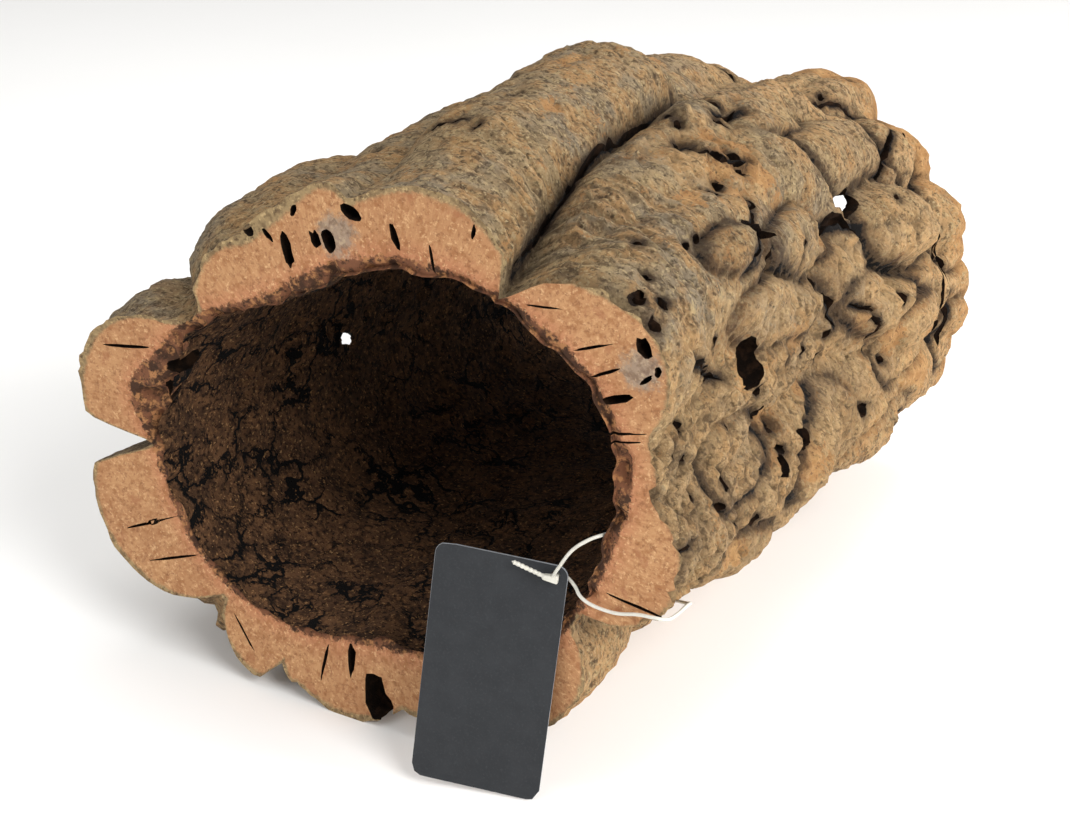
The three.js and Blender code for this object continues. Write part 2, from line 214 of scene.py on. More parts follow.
def crackle(points, spacing, seed):
    """Cracked-mud pattern: 0 on the cracks between scattered cells, rising to about 1 inside them."""
    place = points / spacing
    cell = np.floor(place).astype(np.int64)
    nearest = np.full(points.shape[:-1], np.inf)
    second = nearest.copy()
    for step in np.ndindex(3, 3, 3):
        near = cell + np.array(step) - 1
        spot = near + np.stack([scatter(near, seed + axis) for axis in range(3)], -1)
        gap = np.linalg.norm(place - spot, axis=-1)
        second = np.minimum(second, np.maximum(nearest, gap))
        nearest = np.minimum(nearest, gap)
    return second - nearest


# Knuckles where the branch budded and the bark folded over itself, in the order they overlap: bearing,
# mm along, half sizes across and along, turn, rise of the middle and depth of the fold round it.
KNUCKLES = (
    (61, 128, 13, 34, 0, 3.5, 4), (45, 126, 25, 17, 20, 2.5, 4), (45, 66, 21, 37, 12, 4, 5.5),
    (21, 134, 23, 17, 10, 3, 4), (9, 50, 15, 36, 8, 2.5, 4), (25, 82, 21, 36, 10, 4.5, 6),
    (357, 84, 17, 36, -10, 3, 4.5), (58, 36, 11, 28, -6, 3, 3.5), (22, -42, 13, 46, 10, 3.5, 5),
    (31, -14, 13, 36, 6, 3.5, 4.5), (36.5, -76, 9, 20, 8, 3, 4), (65, -12, 10, 13, 0, 2, 3),
    (66, -52, 15, 24, 0, 1.5, 2), (350, -20, 16, 34, -12, 3, 5), (2, -92, 15, 24, 6, 2.5, 4),
    (341, -86, 14, 30, 10, 2.5, 4), (335, 52, 17, 40, -6, 3, 5), (352, 134, 18, 18, 0, 3, 4),
    (92, 62, 17, 34, 8, 2, 3), (108, 112, 20, 30, -8, 3, 4.5), (128, 34, 18, 40, 10, 3, 5),
    (153, -128, 42, 27, 0, 11, 2), (152, -38, 17, 34, 6, 3, 5), (160, 68, 18, 32, -10, 3, 5),
    (142, 124, 20, 24, 0, 3, 4), (182, 20, 17, 38, 8, 3, 5), (178, -84, 15, 30, 0, 2.5, 4),
    (192, 110, 18, 34, 6, 3, 5), (212, -30, 18, 36, -8, 3, 5), (218, 62, 17, 36, 8, 3, 5),
    (240, 116, 17, 30, 0, 3, 4), (236, -92, 15, 30, 6, 2.5, 4), (246, 0, 16, 36, -6, 2.5, 4),
    (228, -137, 9, 12, 0, 17, 1), (304, 108, 17, 34, 6, 3, 4), (312, 12, 16, 38, -8, 2.5, 4),
    (316, -70, 15, 30, 6, 2.5, 4),
)
# Cracks and torn splits in the bark: a run of bearings and mm along, then half width and depth.
CRACKS = (
    (((55, -143), (58, -125), (63, -95), (67, -70), (69.5, -40), (71, -5), (72, 20)), 1.2, 5),
    (((42, -37), (40, -45), (37.5, -54), (35, -63), (33, -73)), 1.5, 9),
    (((33, -46), (30.5, -54), (29, -66)), 0.7, 5),
    (((21, -10), (18, 1), (14.5, 8), (8, 12)), 1.5, 8),
    (((31, -14), (29.5, -19), (27, -23)), 0.8, 4),
    (((53, 139), (47, 122), (42, 110), (38, 102), (34, 90)), 1.5, 8),
    (((30, 22), (29.5, 30), (28, 40), (27, 48)), 2.6, 9),
    (((26, -130), (23.5, -119), (21, -108), (18, -94)), 1.2, 7),
    (((357, -148), (359, -144), (358, -138)), 1.2, 4),
    (((58, -44), (55, -40), (52.5, -34), (50, -27), (48.5, -19)), 1.5, 7),
    (((62, 5), (60.5, 10), (60, 20)), 2.0, 8),
    (((73, 12), (68, 16), (64, 17)), 1.3, 5),
    (((12, 22), (10, 30), (6, 36), (2, 38)), 1.2, 5),
    (((61, 95), (60, 104), (58, 112), (54, 122)), 1.0, 5),
    (((95, -96), (92, -92), (88, -91)), 0.7, 3),
    (((104, -40), (100, -36), (96, -36)), 0.7, 3),
    (((128, 30), (133, 40), (140, 46)), 1.4, 5),
    (((150, -60), (156, -48), (158, -34)), 1.3, 5),
    (((205, 60), (212, 66), (216, 80)), 1.4, 5),
    (((232, -50), (228, -36), (230, -22)), 1.3, 5),
    (((340, 60), (336, 72), (337, 84)), 1.4, 5),
    (((350, 118), (356, 124), (3, 126)), 1.3, 4),
    (((80, 92), (86, 98), (94, 100)), 1.2, 4),
    (((318, -30), (322, -18), (320, -4)), 1.3, 5),
)
# Pits rotted or chewed into the bark: bearing, mm along, half widths across and along, and depth.
PITS = (
    (63, -22, 1.8, 2.2, 7), (58, -36, 3.6, 4.0, 9), (52, -33, 3.0, 3.0, 8), (50.5, -22, 2.6, 2.0, 7),
    (46, -56, 1.8, 2.6, 6), (47, -28, 1.6, 2.2, 6), (59, 1, 3.0, 1.8, 7), (66, -20, 1.3, 1.6, 5),
    (47, -45, 1.8, 2.6, 6), (41, -89, 1.6, 2.4, 5), (41, -96, 1.3, 1.6, 5), (45, -118, 1.2, 1.6, 4),
    (38, -145, 1.8, 1.6, 5), (36, -139, 2.2, 2.2, 7), (34, -147, 2.6, 2.0, 7), (40, -134, 1.4, 1.4, 4),
    (16, -131, 2.2, 2.6, 6), (13, -138, 1.8, 1.8, 6), (11, -132, 1.4, 1.6, 5), (25, -103, 2.2, 3.0, 6),
    (11, -73, 2.6, 2.6, 7), (3, -130, 1.8, 1.8, 5), (7, -118, 2.2, 1.6, 5), (1, -106, 2.2, 1.8, 6),
    (358, -113, 2.0, 2.4, 6), (9, -97, 1.2, 1.2, 4), (357, -60, 1.8, 2.8, 6), (1, -59, 1.4, 2.8, 5),
    (352, -98, 1.8, 2.6, 5), (349, -84, 2.4, 2.0, 6), (347, -128, 1.6, 2.4, 5), (344, -60, 2.0, 2.8, 6),
    (12, -44, 1.8, 2.4, 5), (10, -25, 1.6, 2.2, 6), (15, -20, 1.4, 1.8, 5), (7, 7, 1.8, 2.6, 6),
    (3, 1, 1.6, 1.8, 5), (9, 63, 2.2, 2.2, 6), (355, 54, 1.4, 2.8, 5), (359, 40, 1.8, 2.2, 5),
    (349, 22, 2.2, 3.0, 6), (30, 78, 1.2, 1.2, 4), (62, 106, 1.6, 2.0, 5), (66, 138, 2.4, 1.6, 5),
    (57, 60, 1.4, 1.6, 4), (88, -60, 1.0, 1.8, 4), (97, 20, 1.3, 2.0, 4), (84, -96, 0.9, 1.8, 3),
    (112, -90, 1.6, 2.4, 4), (120, 88, 2.4, 3.0, 6), (142, -8, 2.2, 3.4, 6), (166, 50, 2.4, 2.4, 6),
    (172, 104, 2.4, 3.4, 6), (184, -70, 2.2, 3.0, 6), (199, 8, 2.2, 3.4, 6), (214, -20, 2.0, 2.6, 6),
    (222, 110, 2.4, 3.4, 6), (236, 36, 2.0, 3.0, 6), (306, 30, 2.2, 3.0, 6), (324, 96, 2.4, 3.2, 6),
    (331, 8, 2.0, 2.6, 5), (300, -80, 2.0, 3.0, 5),
)
# Where the grey skin is knocked off and orange cork shows: bearing, mm along, half widths.
CHIPS = (
    (47, -70, 5, 5), (43, -44, 4, 10), (46, -18, 10, 10), (53, -12, 7, 8), (50, -32, 8, 12),
    (57, -22, 6, 8), (39, -14, 4, 7), (36, -90, 3, 6),
    (14, -32, 3, 6), (17, -42, 3, 5), (15, -86, 3, 4), (0, -21, 5, 6), (8, 25, 4, 6), (2, -62, 5, 8),
    (66, 138, 9, 9), (50, 132, 5, 9), (36, 136, 5, 8), (20, 140, 9, 6), (10, 110, 6, 7), (1, 60, 6, 8),
    (88, -20, 5, 6), (84, 4, 4, 5), (80, -62, 3, 4), (92, 44, 5, 7), (29, 15, 4, 5), (346, 96, 8, 16),
    (355, 100, 8, 14), (357, -66, 5, 8), (120, 40, 5, 9), (150, 96, 5, 10), (196, -60, 4, 9),
    (210, 96, 5, 10), (230, 10, 4, 9), (160, -20, 4, 7), (350, -40, 6, 10), (345, -100, 5, 9),
)


def gap_to_run(bearing, along, radius, run):
    """Distance in mm over the bark to a run of points, the least over its legs. On each leg the nearest
    spot is the point's shadow on it, held between its two ends."""
    least = np.full(np.shape(bearing), np.inf)
    for (from_bearing, start), (to_bearing, end) in zip(run[:-1], run[1:]):
        across = np.radians(turn_between(from_bearing, bearing)) * radius
        leg_across = np.radians(turn_between(from_bearing, to_bearing)) * radius
        leg_along = end - start
        shadow = (across * leg_across + (along - start) * leg_along) / (leg_across**2 + leg_along**2)
        shadow = np.clip(shadow, 0, 1)
        gap = np.hypot(across - shadow * leg_across, along - start - shadow * leg_along)
        least = np.minimum(least, gap)
    return least


def gap_to_patch(bearing, along, radius, patch):
    """Rough distance in mm outside an oval patch, below zero inside it: how many times the patch would
    have to grow to reach the point, less one, times its smaller half width."""
    middle, place, half_across, half_along = patch[:4]
    across = np.radians(turn_between(middle, bearing)) * radius
    grown = np.hypot(across / half_across, (along - place) / half_along)
    return (grown - 1) * min(half_across, half_along)


def fold_knuckles(points, bearing, along, radius):
    """Height in mm that the knuckles add, and distance to the nearest fold between them. Each is laid over
    those before it and presses a fold into what it overlaps. On the gnarled right side a knuckle is a
    dome, the root of one less the squared share of the way to its wavy edge, with a crisp fold all round.
    Elsewhere it swells gently, without the root, and its fold comes and goes."""
    height = np.zeros(points.shape[:-1])
    fold = np.full(points.shape[:-1], NOTHING_NEAR)
    wave = 0.12 * lumpy(points, 18, 24) + 0.07 * lumpy(points, 6, 25)
    gnarled = near_bearing(bearing, 20, 56, 4)
    wave = wave + 0.28 * (1 - gnarled) * lumpy(points, 30, 26)
    crease = gnarled + (1 - gnarled) * np.clip(0.2 + 1.6 * lumpy(points, 28, 27), 0, 1)
    for middle, place, half_across, half_along, twist, rise, depth in KNUCKLES:
        across = np.radians(turn_between(middle, bearing)) * radius
        twist = np.radians(twist)
        u = across * np.cos(twist) + (along - place) * np.sin(twist)
        v = (along - place) * np.cos(twist) - across * np.sin(twist)
        far = np.hypot(u / half_across, v / half_along) + wave
        deep = depth * crease
        swell = np.clip(1 - far**2, 0, 1)
        dome = (rise + deep) * (gnarled * np.sqrt(swell) + (1 - gnarled) * swell) - deep
        beyond = (far - 1) * half_across
        pressed = height - deep * np.exp(-np.maximum(beyond, 0) / 3.0)
        height = np.where(far < 1, np.maximum(height - deep, dome), pressed)
        beyond = np.abs(beyond) + 7 * (1 - crease)
        fold = np.where(far < 1, beyond, np.minimum(fold, beyond))
    return height, fold


def bark_marks(points, bearing, along, radius):
    """Signed distances in mm to the nearest crack or pit and to the nearest chip, ragged at the edges."""
    fray = 0.7 * lumpy(points, 2.6, 3) + 0.9 * lumpy(points, 6.0, 4)
    void = np.full(points.shape[:-1], NOTHING_NEAR)
    for run, half_width, _ in CRACKS:
        void = np.minimum(void, gap_to_run(bearing, along, radius, run) - half_width + 0.5 * fray)
    for pit in PITS:
        void = np.minimum(void, gap_to_patch(bearing, along, radius, pit) + 0.5 * fray)
    chip = np.full(points.shape[:-1], NOTHING_NEAR)
    for patch in CHIPS:
        chip = np.minimum(chip, gap_to_patch(bearing, along, radius, patch))
    chip = chip + 3.0 * lumpy(points, 9.0, 5) + 3.0 * lumpy(points, 4.0, 6)
    return void, chip


def filled_radius(bearing, share):
    """The ropes, with the dip between the two crown ropes filled up by 7 mm at the mouth."""
    fill = 7 * np.exp(-((turn_between(97, bearing) / 7) ** 2) - (share * TUBE_LENGTH / 30) ** 2)
    return bark_radius(bearing, share) + fill


def growth_rings(bearing, along):
    """Strength of the growth wrinkles: strong behind the mouth on the ridge, less on the far knuckles."""
    ridge = np.exp(-(((along + 115) / 42) ** 2)) * near_bearing(bearing, 55, 19)
    knuckles = 0.35 * np.exp(-(((along - 90) / 60) ** 2)) * near_bearing(bearing, 38, 22)
    return ridge + knuckles


def torn_bark(bearing, along):
    """How torn and crumbly the bark is: most low on the right side and round the pits on the ridge."""
    low = near_bearing(bearing, 5, 26, 4) * np.clip(0.5 + 0.005 * (90 - along), 0.3, 1)
    pitted = np.exp(-((turn_between(52, bearing) / 12) ** 4 + ((along + 34) / 30) ** 4))
    return np.maximum(low, pitted)


def bark_relief(points, bearing, radius):
    """Relief in mm on the ropes, as two parts: what the knuckles add, and the small relief over them, which
    is lumps, flaking plates, growth rings, grain, crevices, crumbs, chips and the sunk edges of voids. The
    small relief fades into the folds between knuckles."""
    along = points[..., 1]
    domes, fold = fold_knuckles(points, bearing, along, radius)
    lumps = 1.3 * lumpy(points, 38, 11) + 0.8 * lumpy(points, 15, 12) + 0.5 * lumpy(points, 7, 19)
    level = 1.6 * lumpy(points * np.array([1, 1.4, 1]), 26, 13)
    plates = np.floor(level) + np.clip((level - np.floor(level) - 0.35) / 0.3, 0, 1) - level
    ripple = np.abs(np.sin(np.pi * (along / 6.4 + 1.3 * lumpy(points, 34, 14) + 0.5 * lumpy(points, 9, 15))))
    rings = (ripple**0.7 - 0.6) * (0.4 + 3.6 * growth_rings(bearing, along))
    crumbly = torn_bark(bearing, along)
    rough = np.clip(0.25 + 0.6 * lumpy(points, 46, 21), 0.05, 0.8) + 0.8 * crumbly
    grain = 0.40 * lumpy(points, 3.4, 16) + 0.30 * lumpy(points, 2.2, 17)
    clods = crackle(points + 2.0 * lumpy(points, 5, 20)[..., None], 11, 18)
    crevices = rough * (1.1 * np.clip(clods, 0, 0.6) - 2.0 * np.clip(1 - clods / 0.16, 0, 1) - 0.3)
    crumbs = crackle(points + 1.5 * lumpy(points, 4, 23)[..., None], 6.5, 28)
    crumbs = 1.2 * np.clip(crumbs, 0, 0.5) - 1.6 * np.clip(1 - crumbs / 0.2, 0, 1)
    crevices = crevices + crumbly * crumbs
    void, chip = bark_marks(points, bearing, along, radius)
    sunk = -1.8 * np.clip(0.7 - void / 3.0, 0, 1)
    chipped = -np.clip(0.5 - chip / 2.0, 0, 1) * (0.7 + 0.8 * lumpy(points, 3.0, 22))
    small = lumps + plates + rings + grain * (1 + rough) + crevices + chipped + sunk
    return domes, small * np.clip(0.35 + fold / 8, 0.35, 1)


def lining_relief(points):
    """Relief in mm on the bore: slow waves, inner bark cracked in places, and grit."""
    waves = 2.4 * lumpy(points, 30, 31) + 1.4 * lumpy(points, 12, 32) + 0.8 * lumpy(points, 6, 34)
    broken = np.clip(0.5 + 1.3 * lumpy(points, 34, 35), 0, 1)
    cracks = 3.0 * broken * np.clip(1 - crackle(points, 22, 33) / 0.16, 0, 1)
    return waves + 0.6 * cracks + 0.6 * lumpy(points, 3.6, 39)


# The dark lip of the sawn face: its width in mm where it is thin, then the places where old bark peels
# away and it is broader, under the left lobe, along the top and at the right: bearing, spread and added mm.
THIN_LIP = 2.5
PEELING = ((178, 9, 10), (158, 12, 3), (100, 26, 3), (10, 9, 3))


def lip_width(bearing):
    """Width in mm of the crumbled dark lip: the thin one, and a bell for each place where bark peels."""
    width = THIN_LIP
    for middle, spread, added in PEELING:
        width = width + added * near_bearing(bearing, middle, spread)
    return width


def grid_places(shares):
    """Bearing and share along of every point in rows at the shares given."""
    share = shares[:, None] * np.ones(COLUMNS)
    return column_bearing(np.broadcast_to(np.arange(COLUMNS), share.shape), share), share


def rounding(from_edge, reach):
    """How far a quarter round has worn an edge back, as a share: 1 at the edge, 0 from the reach inwards."""
    return 1 - np.sqrt(1 - np.clip(1 - from_edge / reach, 0, 1) ** 2)


THINNEST_BARK = 2.0


def bark_rings():
    """Rows of the bark from mouth to far end: the ropes with their relief, worn round at the far end, and
    eroded at the mouth where rot reached the rim."""
    bearing, share = grid_places(np.linspace(0, 1, OUTER_ROWS + 1))
    radius = filled_radius(bearing, share)
    base = place_at(bearing, share, radius)
    domes, small = bark_relief(base, bearing, radius)
    worn = 5.0 * rounding(TUBE_LENGTH * (1 - share), 9)
    eroded = 9 * rounding(TUBE_LENGTH * share, 13) * (1 + 0.6 * lumpy(base, 7, 56))
    eroded = eroded * near_bearing(bearing, 43, 10)
    radius = radius + (domes + small) - worn - eroded
    return place_at(bearing, share, np.maximum(radius, bore_radius(bearing, share) + THINNEST_BARK))


def bore_rings():
    """Rows of the bore from far end to mouth, ragged at the lip, with a flap of old bark standing in from
    the left, and kept inside the bark. Gives the bearings at the mouth too."""
    bearing, share = grid_places(np.linspace(1, 0, BORE_ROWS + 1))
    radius = bore_radius(bearing, share)
    base = place_at(bearing, share, radius)
    depth = lining_relief(base)
    lip = np.exp(-TUBE_LENGTH * share / 8)
    ragged = lip * (2.0 * lumpy(base, 4.5, 41) + 1.5 * lumpy(base, 11, 42))
    flap = 9 * near_bearing(bearing, 172, 9) * np.exp(-TUBE_LENGTH * share / 14)
    radius = radius - flap * (1 + 0.4 * lumpy(base, 8, 43))
    most = np.maximum(bark_radius(bearing, share) - 4.0, radius - 1.0)
    radius = np.minimum(radius + depth * (1 - 0.6 * lip) + ragged, most)
    return place_at(bearing, share, radius), bearing[-1]


def cork_grid():
    """Closed skin as rows of rings: bark from mouth to far end, far face, bore back, sawn face. The far face
    is dished, and the sawn face sinks in at its crumbled lip."""
    outer = bark_rings()
    inner, mouth_bearing = bore_rings()

    across = np.linspace(0, 1, FAR_ROWS + 1)[1:-1, None, None]
    far = outer[-1] * (1 - across) + inner[0] * across
    dish = np.sin(np.pi * across[..., 0])
    far[..., 1] += -1.5 - 2.0 * dish * (1 + lumpy(far, 14, 51)) - 0.6 * (1 + lumpy(far, 4, 52))

    across = np.linspace(0, 1, FACE_ROWS + 1)[1:-1, None, None] ** 1.4
    face = inner[-1] * (1 - across) + outer[0] * across
    lip = lip_width(mouth_bearing) * (1 + 0.7 * lumpy(face, 5, 54))
    reach = np.clip(1 - np.linalg.norm(face - inner[-1], axis=-1) / lip, 0, 1) ** 0.7
    face[..., 1] += 0.45 * lip * (1 + 0.9 * lumpy(face, 4, 55)) * reach + 0.2 * (1 + lumpy(face, 7, 53))

    rings = np.concatenate([outer, far, inner, face])
    rings[..., 2] = np.maximum(rings[..., 2], 0)
    rings[..., 1] = np.clip(rings[..., 1], -TUBE_LENGTH / 2, TUBE_LENGTH / 2)
    zones = np.repeat([BARK, SAWN, LINING, SAWN], [OUTER_ROWS, FAR_ROWS, BORE_ROWS, FACE_ROWS])
    return rings, zones


def closed_mesh(name, rings, zones):
    """Mesh of a grid that closes both ways: each quad joins a point to its neighbours in ring and row."""
    rows, columns = rings.shape[:2]
    row, column = np.meshgrid(np.arange(rows), np.arange(columns), indexing="ij")
    beside = (column + 1) % columns
    after = (row + 1) % rows
    corners = ((row, column), (after, column), (after, beside), (row, beside))
    quads = np.stack([(r * columns + c).ravel() for r, c in corners], 1)
    mesh = bpy.data.meshes.new(name)
    mesh.vertices.add(rows * columns)
    mesh.vertices.foreach_set("co", ((rings + CENTRING) * MM).astype(np.float32).ravel())
    mesh.loops.add(quads.size)
    mesh.loops.foreach_set("vertex_index", quads.ravel().astype(np.int32))
    mesh.polygons.add(len(quads))
    mesh.polygons.foreach_set("loop_start", np.arange(0, quads.size, 4, dtype=np.int32))
    mesh.polygons.foreach_set("material_index", np.repeat(zones, columns).astype(np.int32))
    mesh.update(calc_edges=True)
    return mesh


def linear(hex_colour):
    """sRGB hex to the linear colour that shaders take."""
    channels = [int(hex_colour[i : i + 2], 16) / 255 for i in (1, 3, 5)]
    return [c / 12.92 if c <= 0.04045 else ((c + 0.055) / 1.055) ** 2.4 for c in channels] + [1]


def node(tree, kind, settings=None, **inputs):
    """Adds one shader node. Settings are its properties; inputs go in by name or _number, as values,
    hex colours or links. Returns the node's outputs."""
    made = tree.nodes.new("ShaderNode" + kind)
    for name, value in (settings or {}).items():
        setattr(made, name, value)
    for name, value in inputs.items():
        socket = made.inputs[int(name[1:])] if name[0] == "_" else made.inputs[name.replace("_", " ")]
        if isinstance(value, bpy.types.NodeSocket):
            tree.links.new(value, socket)
        else:
            socket.default_value = linear(value) if isinstance(value, str) else value
    return made.outputs


def paint(tree, where, colour, coats):
    """Lays coats over a colour. Each coat shows where a value climbs from low to high: a value that is
    linked in, or noise with spots of (size across, size along) in mm."""
    for number, (what, low, high, most, coat) in enumerate(coats):
        if isinstance(what, tuple):
            stretch = (1 / what[0], 1 / what[1], 1 / what[0])
            spots = node(tree, "Mapping", Vector=where, Location=(7.3 * number,) * 3, Scale=stretch)["Vector"]
            what = node(tree, "TexNoise", Vector=spots, Scale=1.0, Detail=5.0, Roughness=0.6)["Fac"]
        amount = node(tree, "MapRange", {"interpolation_type": "SMOOTHSTEP"}, Value=what, From_Min=low,
                      From_Max=high, To_Max=most)["Result"]
        colour = node(tree, "Mix", {"data_type": "RGBA"}, _0=amount, _6=colour, _7=coat)[2]
    return colour


def new_material(name, roughness, specular):
    """Material of that name: returns it with its node tree, its shader and object coordinates in mm."""
    material = bpy.data.materials.new(name)
    material.use_nodes = True
    tree = material.node_tree
    shader = tree.nodes["Principled BSDF"]
    shader.inputs["Roughness"].default_value = roughness
    shader.inputs["Specular IOR Level"].default_value = specular
    metres = node(tree, "TexCoord")["Object"]
    where = node(tree, "VectorMath", {"operation": "SCALE"}, Vector=metres, Scale=1 / MM)["Vector"]
    return material, tree, shader, where


def weathered_bark():
    """Weathered rind of cork oak: dry and matt, a mottle of grey, brown and tan that turns paler and more
    orange to the far end and low down, orange cork where the rind is knocked off, tan crumbs, and painted
    shade in the wrinkle troughs, between crumbs, in the low relief and round voids and folds, near black in
    voids."""
    material, tree, shader, where = new_material("weathered_cork_bark", 0.93, 0.25)
    marks = node(tree, "Attribute", {"attribute_name": "marks"})["Vector"]
    marks = node(tree, "SeparateXYZ", Vector=marks)
    growth = node(tree, "Attribute", {"attribute_name": "growth"})["Fac"]
    rings = node(tree, "TexWave", {"bands_direction": "Y"}, Vector=where, Scale=0.062, Distortion=4.0,
                 Detail=3.0, Detail_Scale=0.8)["Fac"]
    # Painted shade in the troughs of the growth wrinkles, which the bump raises from the same waves.
    wrinkle_trough_shade = node(tree, "Math", {"operation": "SUBTRACT"}, _0=growth, _1=rings)[0]
    torn = node(tree, "Attribute", {"attribute_name": "torn"})["Fac"]
    shaken = node(tree, "TexNoise", Vector=where, Scale=0.35, Detail=4.0, Roughness=0.7)["Color"]
    shaken = node(tree, "VectorMath", {"operation": "MULTIPLY_ADD"}, _0=shaken, _1=(6, 6, 6),
                  _2=where)["Vector"]
    crumbs = node(tree, "TexVoronoi", Vector=shaken, Scale=0.36)["Distance"]
    crumbs = node(tree, "Math", {"operation": "MULTIPLY"}, _0=crumbs, _1=torn)[0]
    fray = node(tree, "TexNoise", Vector=where, Scale=0.5, Detail=5.0, Roughness=0.7)["Fac"]
    chip = node(tree, "Math", {"operation": "MULTIPLY_ADD"}, _0=fray, _1=16.0, _2=marks["Y"])[0]
    void = node(tree, "Math", {"operation": "MULTIPLY_ADD"}, _0=fray, _1=3.0, _2=marks["X"])[0]
    place = node(tree, "SeparateXYZ", Vector=where)
    colour = paint(tree, where, "#b69a70", [
        ((40, 40), 0.36, 0.62, 1, "#9c8b72"),
        ((16, 12), 0.44, 0.60, 0.8, "#c29560"),
        (place["Y"], 0.0, 150.0, 0.8, "#ddb07a"),
        (place["Z"], 130.0, 20.0, 0.8, "#d8a973"),
        (place["X"], -55.0, -110.0, 0.5, "#857b6c"),
        ((7.0, 5.0), 0.48, 0.66, 0.75, "#6f583d"),
        ((7.0, 2.4), 0.48, 0.74, 0.3, "#5f4d38"),
        ((4.0, 3.0), 0.50, 0.70, 0.75, "#ccb181"),
        ((3.0, 2.2), 0.50, 0.34, 0.8, "#4d3a29"),
        ((1.5, 1.2), 0.50, 0.32, 0.7, "#3c2d1f"),
        ((1.5, 1.2), 0.52, 0.70, 0.7, "#dec596"),
        (wrinkle_trough_shade, 0.15, 0.90, 0.5, "#57462f"),
        # Tan on the crumbs, and painted shade in the gaps between them, where the bump sinks the bark.
        (crumbs, 0.12, 0.34, 0.4, "#dab07a"),
        (crumbs, 0.50, 0.82, 0.65, "#423020"),
        # Painted shade where the bark lies below the ropes and knuckles, in its crevices, cracks and chips.
        (marks["Z"], 0.0, -3.0, 0.45, "#4a3a28"),
    ])
    cork_crumb = paint(tree, where, "#c08c57", [
        ((4.0, 4.0), 0.36, 0.66, 1, "#d6a76e"),
        ((1.6, 1.2), 0.48, 0.33, 0.9, "#81593a"),
    ])
    colour = paint(tree, where, colour, [
        (chip, 9.2, 6.8, 0.85, cork_crumb),
        # Painted shade round and in the cracks, pits and folds between knuckles, running to near black in
        # them.
        (void, 6.0, 2.5, 0.4, "#57442f"),
        (void, 3.3, 1.7, 0.8, "#3b2b1d"),
        (void, 1.6, 0.8, 1, "#0f0a07"),
    ])
    tree.links.new(colour, shader.inputs["Base Color"])
    grit = node(tree, "TexNoise", Vector=where, Scale=0.30, Detail=8.0, Roughness=0.85)["Fac"]
    dashes = node(tree, "Mapping", Vector=where, Scale=(0.11, 0.6, 0.11))["Vector"]
    dashes = node(tree, "TexNoise", Vector=dashes, Scale=1.0, Detail=4.0, Roughness=0.65)["Fac"]
    wrinkles = node(tree, "Math", {"operation": "MULTIPLY"}, _0=growth, _1=rings)[0]
    height = node(tree, "Math", {"operation": "MULTIPLY_ADD"}, _0=dashes, _1=0.2, _2=grit)[0]
    height = node(tree, "Math", {"operation": "MULTIPLY_ADD"}, _0=wrinkles, _1=0.5, _2=height)[0]
    height = node(tree, "Math", {"operation": "MULTIPLY_ADD"}, _0=crumbs, _1=-0.45, _2=height)[0]
    bump = node(tree, "Bump", Height=height, Strength=1.0, Distance=4.4 * MM)["Normal"]
    tree.links.new(bump, shader.inputs["Normal"])
    return material


